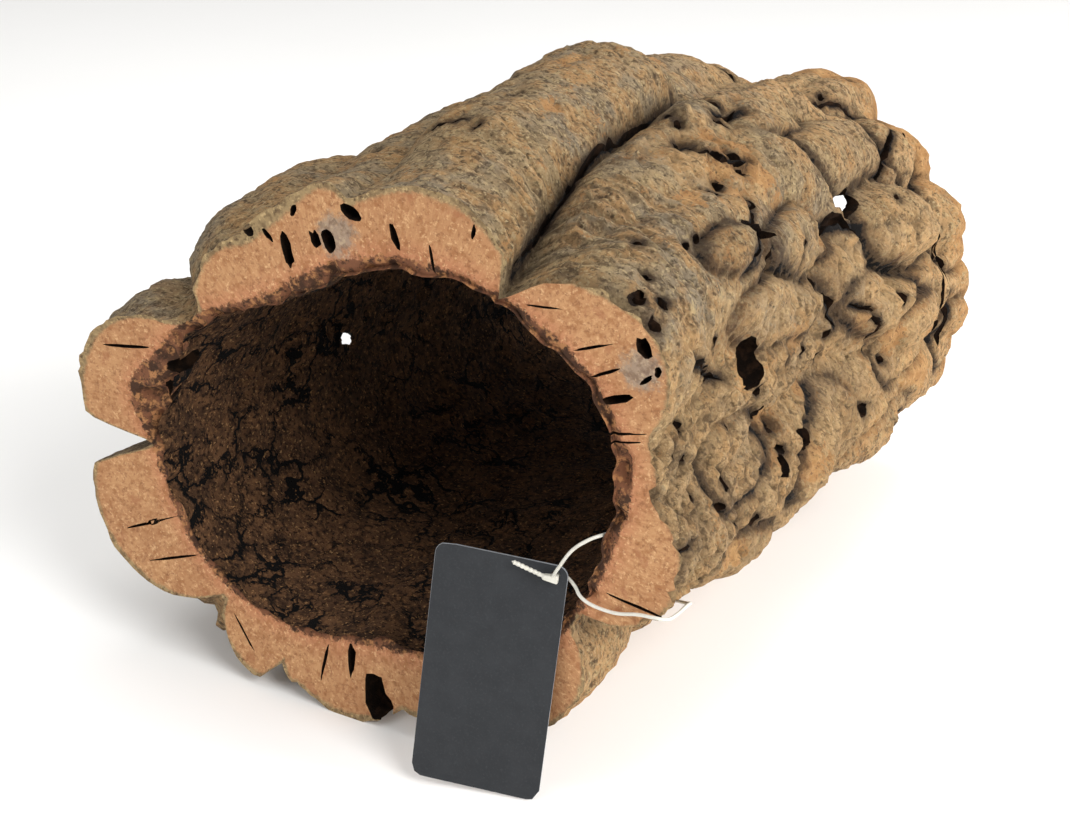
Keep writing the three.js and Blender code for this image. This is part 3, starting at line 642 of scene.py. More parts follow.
def sawn_cork():
    """Fresh sawn cork: an even matt crumb, orange tan and pinker towards the bore, pricked with light
    and dark grains, with a thin grey rind, two spots of grey rot and a dark, crumbling inner lip."""
    material, tree, shader, where = new_material("sawn_cork", 0.88, 0.25)
    face = node(tree, "Attribute", {"attribute_name": "face"})["Vector"]
    face = node(tree, "SeparateXYZ", Vector=face)
    fray = node(tree, "TexNoise", Vector=where, Scale=0.30, Detail=6.0, Roughness=0.75)["Fac"]
    from_bore = node(tree, "Math", {"operation": "MULTIPLY_ADD"}, _0=fray, _1=-10.0, _2=face["Y"])[0]
    grain = node(tree, "CombineXYZ", X=face["X"], Y=face["Y"])["Vector"]
    rays = node(tree, "Mapping", Vector=grain, Scale=(0.9, 0.16, 0.0))["Vector"]
    rays = node(tree, "TexNoise", Vector=rays, Scale=1.0, Detail=4.0, Roughness=0.6)["Fac"]
    rim = node(tree, "Math", {"operation": "MULTIPLY_ADD"}, _0=fray, _1=5.0, _2=face["Z"])[0]
    rind = paint(tree, where, "#94805c", [
        ((3.5, 2.5), 0.42, 0.62, 0.9, "#66563e"),
        ((1.5, 1.5), 0.52, 0.70, 0.8, "#c4ab7c"),
        ((1.8, 1.8), 0.46, 0.32, 0.9, "#3d3022"),
    ])
    old_cork = paint(tree, where, "#6d4630", [
        ((9.0, 9.0), 0.44, 0.56, 0.95, "#2e1d13"),
        ((3.0, 3.0), 0.50, 0.64, 0.85, "#a8774c"),
        ((1.8, 1.8), 0.48, 0.36, 0.85, "#1d130c"),
    ])
    rotten = paint(tree, where, "#8f8577", [
        ((3.0, 3.0), 0.44, 0.62, 0.9, "#5b554f"),
        ((1.5, 1.5), 0.54, 0.68, 0.8, "#b5a78c"),
    ])
    from_rot = []
    for spot in ((-5.0, -148.0, 186.0), (106.0, -148.0, 163.0)):
        gap = node(tree, "VectorMath", {"operation": "DISTANCE"}, _0=where, _1=spot)["Value"]
        from_rot.append(node(tree, "Math", {"operation": "MULTIPLY_ADD"}, _0=fray, _1=16.0, _2=gap)[0])
    colour = paint(tree, where, "#ad7f58", [
        ((24, 24), 0.36, 0.64, 1, "#b98c62"),
        (face["Y"], 13.0, 0.0, 0.7, "#b57354"),
        (rays, 0.44, 0.70, 0.45, "#a06b46"),
        (rays, 0.48, 0.28, 0.4, "#cfa275"),
        ((2.6, 2.6), 0.46, 0.66, 0.7, "#94623e"),
        ((1.4, 1.4), 0.48, 0.32, 0.7, "#83563a"),
        ((1.3, 1.3), 0.54, 0.70, 0.6, "#dcb384"),
        ((7.0, 7.0), 0.58, 0.70, 0.6, "#9c6747"),
        (from_rot[0], 17.5, 13.0, 0.7, rotten),
        (from_rot[1], 17.0, 12.5, 0.7, rotten),
        (rim, 5.2, 3.2, 0.9, rind),
        (from_bore, -1.2, -2.6, 0.95, old_cork),
    ])
    tree.links.new(colour, shader.inputs["Base Color"])
    crumb = node(tree, "TexNoise", Vector=where, Scale=0.9, Detail=5.0, Roughness=0.65)["Fac"]
    bump = node(tree, "Bump", Height=crumb, Strength=0.6, Distance=0.7 * MM)["Normal"]
    tree.links.new(bump, shader.inputs["Normal"])
    return material


def inner_bark():
    """Old inner bark that lined the branch: dark brown and gritty, cracked into rough plates, with painted
    shade near black in the cracks and painted highlights as pale specks."""
    material, tree, shader, where = new_material("inner_bark", 0.95, 0.2)
    warp = node(tree, "TexNoise", Vector=where, Scale=0.09, Detail=4.0, Roughness=0.6)["Color"]
    warped = node(tree, "VectorMath", {"operation": "MULTIPLY_ADD"}, _0=warp, _1=(22, 22, 22),
                  _2=where)["Vector"]
    cracks = node(tree, "TexVoronoi", {"feature": "DISTANCE_TO_EDGE"}, Vector=warped, Scale=0.06)["Distance"]
    breaks = node(tree, "TexNoise", Vector=where, Scale=0.035, Detail=3.0, Roughness=0.6)["Fac"]
    cracks = node(tree, "Math", {"operation": "MULTIPLY_ADD"}, _0=breaks, _1=-0.32, _2=cracks)[0]
    colour = paint(tree, where, "#5c412d", [
        ((18, 18), 0.38, 0.62, 1, "#775439"),
        ((6.0, 6.0), 0.42, 0.66, 0.85, "#38261a"),
        ((2.4, 2.4), 0.50, 0.68, 0.8, "#8c6341"),
        ((1.8, 1.8), 0.50, 0.38, 0.85, "#170e09"),
        # Painted highlights: pale specks that stand in for lit grains.
        ((1.3, 1.3), 0.58, 0.68, 0.9, "#c29260"),
        # Painted shade in the cracks, which the bump sinks: near black.
        (cracks, -0.12, -0.15, 1, "#080504"),
    ])
    tree.links.new(colour, shader.inputs["Base Color"])
    grit = node(tree, "TexNoise", Vector=where, Scale=0.5, Detail=7.0, Roughness=0.75)["Fac"]
    gap = node(tree, "MapRange", Value=cracks, From_Min=-0.17, From_Max=-0.10, To_Max=1.0)["Result"]
    height = node(tree, "Math", {"operation": "ADD"}, _0=grit, _1=gap)[0]
    bump = node(tree, "Bump", Height=height, Strength=1.0, Distance=3.0 * MM)["Normal"]
    tree.links.new(bump, shader.inputs["Normal"])
    return material


def rot_and_shade_wall():
    """Walls of rot holes and borings, and of the cracks, pits and slits: dry, crumbly dark rot with no
    shine at all, and painted shade over it that makes them near black.
    """
    material, tree, shader, where = new_material("hole_wall_rot_and_painted_shade", 0.97, 0.1)
    # The rot's dark brown with painted shade laid over it, near black.
    colour = paint(tree, where, "#130c07", [((4, 4), 0.42, 0.66, 0.7, "#322115")])
    tree.links.new(colour, shader.inputs["Base Color"])
    grit = node(tree, "TexNoise", Vector=where, Scale=0.7, Detail=6.0, Roughness=0.65)["Fac"]
    bump = node(tree, "Bump", Height=grit, Strength=0.9, Distance=0.8 * MM)["Normal"]
    tree.links.new(bump, shader.inputs["Normal"])
    return material


# Holes cut right into the cork: bearing, share along, half sizes across, along and into the wall, depth
# of the middle under the bark, and turn on the bark.
HOLES = (
    (33, 0.665, (4.6, 9, 24), 8, 20), (17, 0.245, (7.5, 11, 11), 5, 30), (6, 0.28, (4, 7, 8), 4, -20),
    (355, 0.37, (4, 5.5, 8), 4, 10), (355, 0.285, (4.5, 4, 8), 4, 0), (37, 0.33, (3.0, 14, 9), 5, -24),
    (43, 0.93, (3.0, 13, 9), 5, 20), (19, 0.49, (3.5, 8, 8), 4, 30), (203, 0.33, (5, 9, 10), 5, 15),
    (176, 0.62, (5, 7, 10), 4, -20), (128, 0.42, (4, 10, 9), 4, 25), (330, 0.167, (3.5, 3.5, 16), 4, 0),
)
# Slits, streaks and channels that the saw opened on the mouth: middle x and z in mm, half length, half
# width, depth and angle on the face.
SLITS = (
    (-36.2, 176.9, 6.4, 2.7, 9, 105), (-44.1, 181.0, 3.2, 1.1, 6, 132), (-24.8, 182.9, 3.4, 2.2, 8, 108),
    (-19.2, 183.6, 4.2, 3.0, 8, 100), (-10.2, 194.8, 4.4, 2.8, 10, 154), (6.4, 189.9, 5.0, 1.5, 7, 108),
    (20.4, 184.4, 5.2, 0.6, 3, 99), (-52.0, 181.5, 2.8, 2.2, 7, 130), (-33.0, 191.5, 2.6, 1.2, 6, 60),
    (78.0, 166.9, 7.4, 0.5, 3, 20), (81.9, 158.9, 6.2, 0.6, 3, 28), (87.2, 151.6, 6.4, 1.6, 9, 20),
    (96.5, 159.8, 3.0, 1.0, 6, 40), (88.1, 139.9, 9.0, 0.5, 3, 14), (88.2, 136.9, 9.0, 0.45, 3, 15),
    (-107.5, 56.2, 13.0, 0.6, 4, 25), (-105.0, 57.4, 3.0, 1.4, 7, 30), (-97.6, 44.2, 12.0, 0.55, 4, 21),
    (-110.8, 126.7, 11.5, 0.7, 5, 9), (-29.7, 20.6, 9.6, 0.7, 6, 76), (-17.6, 25.0, 7.4, 1.6, 10, 87),
    (-88.0, 123.5, 6.0, 3.4, 11, 30), (-94.0, 111.0, 5.0, 2.4, 8, 100), (-6.4, 11.5, 11.0, 5.6, 9, 100),
    (94.6, 80.6, 11.5, 0.6, 5, 172), (95.8, 170.2, 4.0, 2.6, 12, 108), (90.6, 184.5, 2.6, 1.7, 8, 120),
    (100.5, 163.5, 1.8, 1.4, 6, 80), (60.6, 176.6, 7.0, 0.45, 3, 5),
    (36.0, 196.5, 2.4, 0.8, 4, 80), (-66.0, 22.0, 8.0, 0.6, 4, 120), (12.0, 14.0, 5.0, 0.8, 5, 60),
)
# Worm holes that daylight shows through: middle in mm, direction, half length and half width.
TUNNELS = (
    ((-97.0, -35.0, 90.5), (-0.539, 0.747, -0.389), 22, 2.9),
    ((64.1, 86.6, 139.8), (-0.3375, 0.8836, -0.3245), 60, 4.2),
)


def smooth_run(points, steps):
    """Catmull-Rom curve through points, with that many steps for each leg."""
    keys = np.asarray(points, float)
    keys = np.concatenate([[2 * keys[0] - keys[1]], keys, [2 * keys[-1] - keys[-2]]])
    a, b, c, d = (keys[i : len(keys) - 3 + i, None] for i in range(4))
    t = np.linspace(0, 1, steps, endpoint=False)[None, :, None]
    curve = b + t / 2 * (c - a + t * (2 * a - 5 * b + 4 * c - d + t * (3 * (b - c) + d - a)))
    return np.concatenate([curve.reshape(-1, keys.shape[1]), keys[-2:-1]])


def tube_faces(rows, sides):
    """Faces of a tube of rings, joined row to row, then a fan at each end round the two end points, which
    come after the rings."""
    row, spot = np.meshgrid(np.arange(rows - 1), np.arange(sides), indexing="ij")
    after = (spot + 1) % sides
    quads = np.stack([row * sides + spot, row * sides + after, (row + 1) * sides + after,
                      (row + 1) * sides + spot], -1)
    start_point, end_point, last = rows * sides, rows * sides + 1, (rows - 1) * sides
    faces = quads.reshape(-1, 4).tolist()
    faces += [(start_point, (side + 1) % sides, side) for side in range(sides)]
    faces += [(end_point, last + side, last + (side + 1) % sides) for side in range(sides)]
    return faces


CRACK_SIDES = 8
STEPS_PER_LEG = 6
LEFT_OVER_BORE = 3.0


def crack_cutters():
    """Each crack as a sweep: a narrow upright ellipse carried along its run on the bark, wavering by noise,
    swelling and tapering to nearly nothing at both ends, and held clear of the bore."""
    turn = np.linspace(0, 2 * np.pi, CRACK_SIDES, endpoint=False)[None, :, None]
    made = []
    for seed, (run, half_width, deep) in enumerate(CRACKS):
        run = smooth_run(run, STEPS_PER_LEG)
        bearing, along = run[:, 0], run[:, 1]
        share = along / TUBE_LENGTH + 0.5
        skin = filled_radius(bearing, share)
        on_skin = place_at(bearing, share, skin)
        domes, _ = fold_knuckles(on_skin, bearing, along, skin)
        deep = np.minimum(deep, skin + domes - bore_radius(bearing, share) - LEFT_OVER_BORE)
        middle = place_at(bearing, share, skin + domes - 0.8)
        outward = np.stack([np.cos(np.radians(bearing)), 0 * bearing, np.sin(np.radians(bearing))], 1)
        ahead = np.gradient(middle, axis=0)
        across = np.cross(ahead, outward)
        across /= np.linalg.norm(across, axis=1)[:, None]
        middle = middle + across * (1.3 * half_width * lumpy(middle, 4.0, 80 + seed))[:, None]
        taper = (1 - np.abs(np.linspace(-1, 1, len(run))) ** 2.5) * 0.92 + 0.08
        width = half_width * taper * (1 + 0.5 * lumpy(middle, 3.0, 81))
        rings = (middle[:, None] + across[:, None] * width[:, None, None] * np.cos(turn)
                 + outward[:, None] * (deep * taper**0.6)[:, None, None] * np.sin(turn))
        points = np.concatenate([rings.reshape(-1, 3), middle[:1], middle[-1:]])
        made.append((points, tube_faces(len(run), CRACK_SIDES)))
    return made


PEBBLE_RINGS = 7
PEBBLE_SPOKES = 11


def pebble(axes, middle, half, seed):
    """Lumpy closed pebble: a ball of rings and spokes, pushed in and out by noise, then stretched along its
    three axes."""
    tilt = np.linspace(0, np.pi, PEBBLE_RINGS + 2)[1:-1, None]
    spin = np.linspace(0, 2 * np.pi, PEBBLE_SPOKES, endpoint=False)[None]
    ball = np.broadcast_arrays(np.sin(tilt) * np.cos(spin), np.sin(tilt) * np.sin(spin), np.cos(tilt))
    ball = np.concatenate([np.stack(ball, -1).reshape(-1, 3), [[0, 0, 1], [0, 0, -1]]])
    lump = 1 + 0.34 * lumpy(ball * 1.7 + seed * 7.7, 1.0, 60 + seed) + 0.18 * lumpy(ball * 4 + seed, 1.0, 61)
    points = (ball * lump[:, None] * np.array(half)) @ axes + middle
    return points, tube_faces(PEBBLE_RINGS, PEBBLE_SPOKES)


def bark_axes(bearing):
    """Directions across the bark and outwards at a bearing."""
    turn = np.radians(bearing)
    return np.array([np.sin(turn), 0, -np.cos(turn)]), np.array([np.cos(turn), 0, np.sin(turn)])


def hole_cutters():
    """Pebbles for the holes, which lie across the bark, along the tube and outwards, turned on the bark,
    and for the slits, which lie along and across their line on the face, and into the wall."""
    made = []
    for bearing, share, half, sunk, twist in HOLES:
        across, outward = bark_axes(bearing)
        along = np.array([0, 1, 0])
        twist = np.radians(twist)
        axes = np.stack([across * np.cos(twist) + along * np.sin(twist),
                         along * np.cos(twist) - across * np.sin(twist), outward])
        spot = np.float64(bearing), np.float64(share)
        made.append(pebble(axes, place_at(*spot, bark_radius(*spot) - sunk), half, len(made)))
    for across, height, length, width, depth, angle in SLITS:
        turn = np.radians(angle)
        axes = np.array([[np.cos(turn), 0, np.sin(turn)], [np.sin(turn), 0, -np.cos(turn)], [0, 1, 0]])
        middle = np.array([across, 0.3 * depth - TUBE_LENGTH / 2, height])
        made.append(pebble(axes, middle, (length, width, depth), len(made)))
    return made


def tunnel_cutters():
    """A long pebble for each worm hole, lying along the line of sight that it opens."""
    made = []
    for middle, aim, length, width in TUNNELS:
        aim = np.array(aim) / np.linalg.norm(aim)
        across = np.cross(aim, (0, 0, 1))
        across /= np.linalg.norm(across)
        axes = np.stack([across, np.cross(aim, across), aim])
        made.append(pebble(axes, np.array(middle), (width, width, length), len(made)))
    return made


def pit_cutters():
    """A deep pebble for each pit, standing in the bark, leaning its own way and held clear of the bore."""
    made = []
    for bearing, place, half_across, half_along, deep in PITS:
        spot = np.full(1, float(bearing)), np.full(1, place / TUBE_LENGTH + 0.5)
        skin = filled_radius(*spot)
        domes, _ = fold_knuckles(place_at(*spot, skin), spot[0], np.full(1, float(place)), skin)
        skin = float((skin + domes)[0])
        deep = min(deep, skin - float(bore_radius(*spot)[0]) - LEFT_OVER_BORE)
        across, outward = bark_axes(bearing)
        axes = np.stack([across, [0, 1, 0], outward])
        twist = 2.4 * len(made)
        skew, lean = 0.3 * np.sin(twist), 0.2 * np.cos(twist)
        wobble = np.array([[1, skew, 0], [-skew, 1, 0], [lean, 0, 1]])
        middle = place_at(spot[0][0], spot[1][0], skin - 1.5)
        made.append(pebble(wobble @ axes, middle, (half_across, half_along, deep), 100 + len(made)))
    return made


def put_in_scene(name, data):
    """New object with that mesh, lamp or camera, linked into the scene."""
    made = bpy.data.objects.new(name, data)
    bpy.context.collection.objects.link(made)
    return made


def cut_away(solid, cutters):
    """Cuts a set of closed shapes that don't touch each other out of the cork, in one pass."""
    starts = np.cumsum([0] + [len(points) for points, faces in cutters])
    points = np.concatenate([points for points, faces in cutters])
    faces = [[start + corner for corner in face] for start, (_, own) in zip(starts, cutters) for face in own]
    mesh = bpy.data.meshes.new("cutters")
    mesh.from_pydata(((points + CENTRING) * MM).tolist(), [], faces)
    shell = bmesh.new()
    shell.from_mesh(mesh)
    bmesh.ops.recalc_face_normals(shell, faces=shell.faces)
    shell.to_mesh(mesh)
    shell.free()
    mesh.materials.append(solid.data.materials[HOLE])
    tool = put_in_scene("cutters", mesh)
    cut = solid.modifiers.new("cut", "BOOLEAN")
    cut.operation = "DIFFERENCE"
    cut.object = tool
    cut.solver = "MANIFOLD"
    cut.material_mode = "TRANSFER"
    bpy.context.view_layer.objects.active = solid
    bpy.ops.object.modifier_apply(modifier=cut.name)
    bpy.data.objects.remove(tool)


ARC_RADIUS = 100.0


def mark_skin(mesh):
    """Stores for each vertex, worked out from where it lies, three marks on the bark (distance to a
    void, to a chip, and height over the ropes and knuckles), three on the sawn face (arc round the
    middle, from the lip, and from the bark, less where it is rotted), and how strong the growth
    wrinkles are and how torn the bark is."""
    points = np.empty(len(mesh.vertices) * 3, np.float32)
    mesh.vertices.foreach_get("co", points)
    points = points.reshape(-1, 3).astype(float) / MM - CENTRING
    share = np.clip(points[:, 1] / TUBE_LENGTH + 0.5, 0, 1)
    x, z = points[:, 0] - ease(MIDDLE_X, share), points[:, 2] - ease(MIDDLE_Z, share)
    bearing, radius = np.degrees(np.arctan2(z, x)), np.hypot(x, z)
    skin, bore = filled_radius(bearing, share), bore_radius(bearing, share)
    on_skin = place_at(bearing, share, skin)
    domes, fold = fold_knuckles(on_skin, bearing, points[:, 1], skin)
    void, chip = bark_marks(on_skin, bearing, points[:, 1], skin)
    # Folds between knuckles are counted with the voids, so the painted shade of the voids falls in them too.
    void = np.minimum(void, fold - 0.4 + 2.2 * np.maximum(lumpy(on_skin, 18, 73), -0.4))
    near_fold = fold + 1.0 + 5 * lumpy(on_skin, 13, 74)
    worn_end = 4 - np.maximum(0, points[:, 1] + 26 - TUBE_LENGTH / 2) * 0.35 + 4 * lumpy(points, 12, 71)
    low_right = 3.5 + 0.10 * (points[:, 2] - 60) + 5 * lumpy(points, 14, 72)
    low_right = np.where(np.abs(turn_between(330, bearing)) < 60, low_right, NOTHING_NEAR)
    chip = np.minimum(chip, np.minimum(near_fold, np.minimum(worn_end, low_right)))
    rotted = 5 * near_bearing(bearing, 43, 8) + 4 * near_bearing(bearing, 116, 11)
    from_lip = radius - bore - lip_width(bearing) + THIN_LIP
    for name, values in (
        ("marks", (void, chip, radius - skin - domes)),
        ("face", (np.radians(bearing) * ARC_RADIUS, from_lip, skin - radius - rotted)),
    ):
        layer = mesh.attributes.new(name, "FLOAT_VECTOR", "POINT")
        layer.data.foreach_set("vector", np.stack(values, 1).astype(np.float32).ravel())
    for name, strength in (("growth", growth_rings), ("torn", torn_bark)):
        layer = mesh.attributes.new(name, "FLOAT", "POINT")
        layer.data.foreach_set("value", strength(bearing, points[:, 1]).astype(np.float32))


SHARP_ANGLE = 52
cork = put_in_scene("cork_bark", closed_mesh("cork_bark", *cork_grid()))
for make in (weathered_bark, sawn_cork, inner_bark, rot_and_shade_wall):
    cork.data.materials.append(make())
for cutters in (hole_cutters, crack_cutters, pit_cutters, tunnel_cutters):
    cut_away(cork, cutters())
mark_skin(cork.data)
cork.data.polygons.foreach_set("use_smooth", np.ones(len(cork.data.polygons), bool))
cork.data.set_sharp_from_angle(angle=np.radians(SHARP_ANGLE))
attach(cork, "root")
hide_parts("cork_bark_tube")

# Swing tag
# A blank hang tag of thick uncoated charcoal card, die cut with round corners and one punched hole.
# It hangs from its nylon loop and leans against the sawn face.
TAG_WIDTH = 45.0
TAG_HEIGHT = 88.0
TAG_THICKNESS = 0.8
TAG_CORNER = 4.0
TAG_HOLE_RADIUS = 1.5
TAG_HOLE = (18.3, 40.4)
TAG_MIDDLE = (46.0, -160.7, 45.8)
TAG_TURNS = (-6.0, 5.5, 16.9)
TAG_BEVEL = 0.18
# How finely the card is drawn: rays from its hole, and where loops lie on each ray. Then its materials in
# the order of their slots.
TAG_RAYS = 240
TAG_FACE_SHARES = (0, 0.15, 0.4, 0.7, 1)
CARD, CARD_EDGE = 0, 1


def tag_outline(count):
    """Rounded rectangle round the punched hole as rays from the hole: distance along each ray to the
    nearest side, or to the corner arc where the ray leaves between two sides."""
    ray = np.linspace(0, 2 * np.pi, count, endpoint=False)
    aim = np.stack([np.cos(ray), np.sin(ray)], 1)
    start = np.array(TAG_HOLE)
    half = np.array([TAG_WIDTH, TAG_HEIGHT]) / 2
    with np.errstate(divide="ignore"):
        reach = np.min((np.sign(aim) * half - start) / aim, axis=1, where=np.abs(aim) > 1e-9, initial=1e9)
    edge = start + aim * reach[:, None]
    core = np.clip(edge, TAG_CORNER - half, half - TAG_CORNER)
    corner = np.all(np.abs(edge) > half - TAG_CORNER, axis=1)
    off = start - core
    along = np.sum(off * aim, 1)
    chord = np.sqrt(np.maximum(along**2 - np.sum(off**2, 1) + TAG_CORNER**2, 0))
    reach = np.where(corner, -along + chord, reach)
    return start + aim * reach[:, None], start + aim * TAG_HOLE_RADIUS


def on_tag(points):
    """Places points given on the upright card, from its middle, where the leaning tag has them."""
    lean, roll, turn = np.radians(TAG_TURNS)
    stand = Matrix.Rotation(turn, 3, "Z") @ Matrix.Rotation(lean, 3, "X") @ Matrix.Rotation(roll, 3, "Y")
    return np.asarray(points, float) @ np.array(stand).T + TAG_MIDDLE


def tag_mesh(name):
    """Loops of points round the card: hole, front, bevelled edge, back and hole again. Each loop on a face
    lies at a share of the way from the hole to the edge, which is drawn in by the bevel."""
    edge, hole = tag_outline(TAG_RAYS)
    off = edge - np.array(TAG_HOLE)
    drawn_in = edge - off / np.linalg.norm(off, axis=1)[:, None] * TAG_BEVEL
    face = [hole * (1 - share) + drawn_in * share for share in TAG_FACE_SHARES]
    loops = face + [edge, edge] + face[::-1]
    front, edge_start = -TAG_THICKNESS / 2, TAG_BEVEL - TAG_THICKNESS / 2
    depths = [front] * len(face) + [edge_start, -edge_start] + [-front] * len(face)
    points = np.stack([np.stack([flat[:, 0], np.full(TAG_RAYS, depth), flat[:, 1]], 1)
                       for flat, depth in zip(loops, depths)])
    row, column = np.meshgrid(np.arange(len(loops)), np.arange(TAG_RAYS), indexing="ij")
    after, beside = (row + 1) % len(loops), (column + 1) % TAG_RAYS
    quads = np.stack([row * TAG_RAYS + column, row * TAG_RAYS + beside, after * TAG_RAYS + beside,
                      after * TAG_RAYS + column], -1)
    placed = on_tag(points.reshape(-1, 3)) + CENTRING
    mesh = bpy.data.meshes.new(name)
    mesh.from_pydata((placed * MM).tolist(), [], quads.reshape(-1, 4).tolist())
    bands = [CARD] * (len(face) - 1) + [CARD_EDGE] * 3 + [CARD] * len(face)
    mesh.polygons.foreach_set("material_index", np.repeat(bands, TAG_RAYS))
    mesh.update()
    return mesh


def charcoal_card():
    """Uncoated charcoal card: matt and soft to the eye, with a faint mottle of paler fibres."""
    material, tree, shader, where = new_material("charcoal_card", 0.72, 0.3)
    colour = paint(tree, where, "#26282b", [
        ((8, 8), 0.35, 0.7, 1, "#2b2d30"),
        ((0.8, 0.8), 0.5, 0.75, 0.7, "#34373a"),
    ])
    tree.links.new(colour, shader.inputs["Base Color"])
    fibre = node(tree, "TexNoise", Vector=where, Scale=2.2, Detail=4.0, Roughness=0.6)["Fac"]
    bump = node(tree, "Bump", Height=fibre, Strength=0.25, Distance=0.1 * MM)["Normal"]
    tree.links.new(bump, shader.inputs["Normal"])
    return material


def card_edge_painted_highlight():
    """The edge that the die cut, painted pale all round as a thin light line: a painted highlight."""
    material, tree, shader, where = new_material("card_edge_painted_highlight", 0.85, 0.2)
    # Painted highlight: a pale grey edge on the dark card.
    colour = paint(tree, where, "#85878a", [((1.5, 1.5), 0.4, 0.7, 0.6, "#6a6c70")])
    tree.links.new(colour, shader.inputs["Base Color"])
    return material


tag = put_in_scene("blank_tag", tag_mesh("blank_tag"))
tag.data.materials.append(charcoal_card())
tag.data.materials.append(card_edge_painted_highlight())
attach(tag, "root")
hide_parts("swing_tag")

# Nylon loop
# A tagging loop of moulded nylon thread, threaded through a boring in the rim and the tag's hole.
# One end is a barbed tail pushed through the little lock head at the other.
LOOP_RADIUS = 0.6
LOOP_SIDES = 10
LOOP_STEPS_PER_LEG = 8
LOOP_ROUTE = (
    (66.4, -153.9, 84.6), (69.6, -155.2, 90.0), (74.2, -154.8, 97.4), (79.2, -153.2, 101.8),
    (82.2, -148.6, 102.4), (79.4, -139.5, 97.2), (73.4, -126.5, 88.0), (66.6, -113.0, 77.4),
    (61.6, -103.6, 69.6), (64.8, -100.6, 65.4), (70.2, -100.0, 62.2), (76.4, -100.8, 58.8),
    (85.0, -105.0, 58.0), (94.0, -111.5, 62.0), (100.4, -120.5, 68.2), (104.4, -131.0, 74.2),
    (106.6, -142.5, 77.6), (106.3, -149.8, 79.0), (102.4, -151.9, 79.6), (96.6, -151.5, 78.8),
    (88.5, -151.3, 76.8), (80.4, -151.6, 77.4), (75.8, -151.4, 79.2), (72.6, -149.2, 80.8),
    (69.6, -147.7, 82.0), (67.2, -147.4, 82.8), (65.7, -149.4, 83.5), (66.7, -152.9, 83.9),
)


def thread_mesh(name, path, radii, sides):
    """Round thread carried along a path: rings square to it, turned as little as may be from one to the
    next, closed at both ends by a middle point."""
    ahead = np.gradient(path, axis=0)
    ahead /= np.linalg.norm(ahead, axis=1)[:, None]
    side = np.cross(ahead[0], (0, 0, 1))
    frames = []
    for direction in ahead:
        side = side - direction * (side @ direction)
        side = side / np.linalg.norm(side)
        frames.append((side, np.cross(direction, side)))
    first, second = (np.array([pair[k] for pair in frames])[:, None] for k in (0, 1))
    turn = np.linspace(0, 2 * np.pi, sides, endpoint=False)[None, :, None]
    rings = path[:, None] + radii[:, None, None] * (first * np.cos(turn) + second * np.sin(turn))
    points = np.concatenate([rings.reshape(-1, 3), path[:1], path[-1:]])
    mesh = bpy.data.meshes.new(name)
    mesh.from_pydata(((points + CENTRING) * MM).tolist(), [], tube_faces(len(path), sides))
    mesh.update()
    mesh.polygons.foreach_set("use_smooth", np.ones(len(mesh.polygons), bool))
    return mesh


def clear_nylon():
    """Natural nylon thread: milky white, half see-through, with a soft moulded gloss."""
    material, tree, shader, where = new_material("natural_nylon", 0.34, 0.5)
    colour = paint(tree, where, "#c8c5ba", [((5, 5), 0.4, 0.7, 1, "#d6d3c8")])
    tree.links.new(colour, shader.inputs["Base Color"])
    shader.inputs["IOR"].default_value = 1.53
    shader.inputs["Subsurface Weight"].default_value = 0.25
    shader.inputs["Subsurface Radius"].default_value = (0.6 * MM, 0.6 * MM, 0.5 * MM)
    return material


route = smooth_run(LOOP_ROUTE, LOOP_STEPS_PER_LEG)
nylon = clear_nylon()
loop_mesh = thread_mesh("nylon_loop", route, np.full(len(route), LOOP_RADIUS), LOOP_SIDES)
loop = put_in_scene("nylon_loop", loop_mesh)
loop.data.materials.append(nylon)
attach(loop, "root")
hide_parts("tag_loop")

# Lock head and tail
# The moulded ends of the loop: a tapered lock head that catches the barbed tail, which sticks out of it
# across the face of the tag.
HEAD_LENGTH = 5.4
HEAD_WIDTH = 3.2
HEAD_NOSE = 1.6
HEAD_THICKNESS = 2.4
HEAD_BEYOND_HOLE = 1.6
HEAD_FRONT = 3.1
HEAD_SIDES = 24
TAIL_LENGTH = 12.0
TAIL_RADIUS = 0.8
TAIL_RISE = 15.0
TAIL_IN_HEAD = 1.0
TAIL_SIDES = 12
TAIL_RINGS = 73
BARB_SPACING = 1.5
TIP_LENGTH = 0.8


def head_mesh(name):
    """Tapered block: rounded squares swept from its broad end to its nose, where both waves of a circle
    are raised to a power under one to square it. Their half sizes ease down and swell in at both ends."""
    share = np.array([0, 0.02, 0.08, 0.3, 0.6, 0.85, 0.96, 1.0])
    swell = np.array([0.55, 0.85, 1, 1, 1, 1, 0.88, 0.6])
    width = (HEAD_WIDTH + (HEAD_NOSE - HEAD_WIDTH) * share) / 2 * swell
    depth = HEAD_THICKNESS / 2 * swell
    turn = np.linspace(0, 2 * np.pi, HEAD_SIDES, endpoint=False)
    round_in, round_across = (np.sign(wave) * np.abs(wave) ** 0.45 for wave in (np.sin(turn), np.cos(turn)))
    rings = np.stack(np.broadcast_arrays(
        TAG_HOLE[0] + HEAD_BEYOND_HOLE - HEAD_LENGTH * share[:, None],
        depth[:, None] * round_in - HEAD_FRONT,
        TAG_HOLE[1] - width[:, None] * round_across,
    ), -1)
    ends = np.stack([rings[0].mean(0), rings[-1].mean(0)])
    points = on_tag(np.concatenate([rings.reshape(-1, 3), ends]))
    mesh = bpy.data.meshes.new(name)
    mesh.from_pydata(((points + CENTRING) * MM).tolist(), [], tube_faces(len(share), HEAD_SIDES))
    mesh.update()
    mesh.polygons.foreach_set("use_smooth", np.ones(len(mesh.polygons), bool))
    return mesh


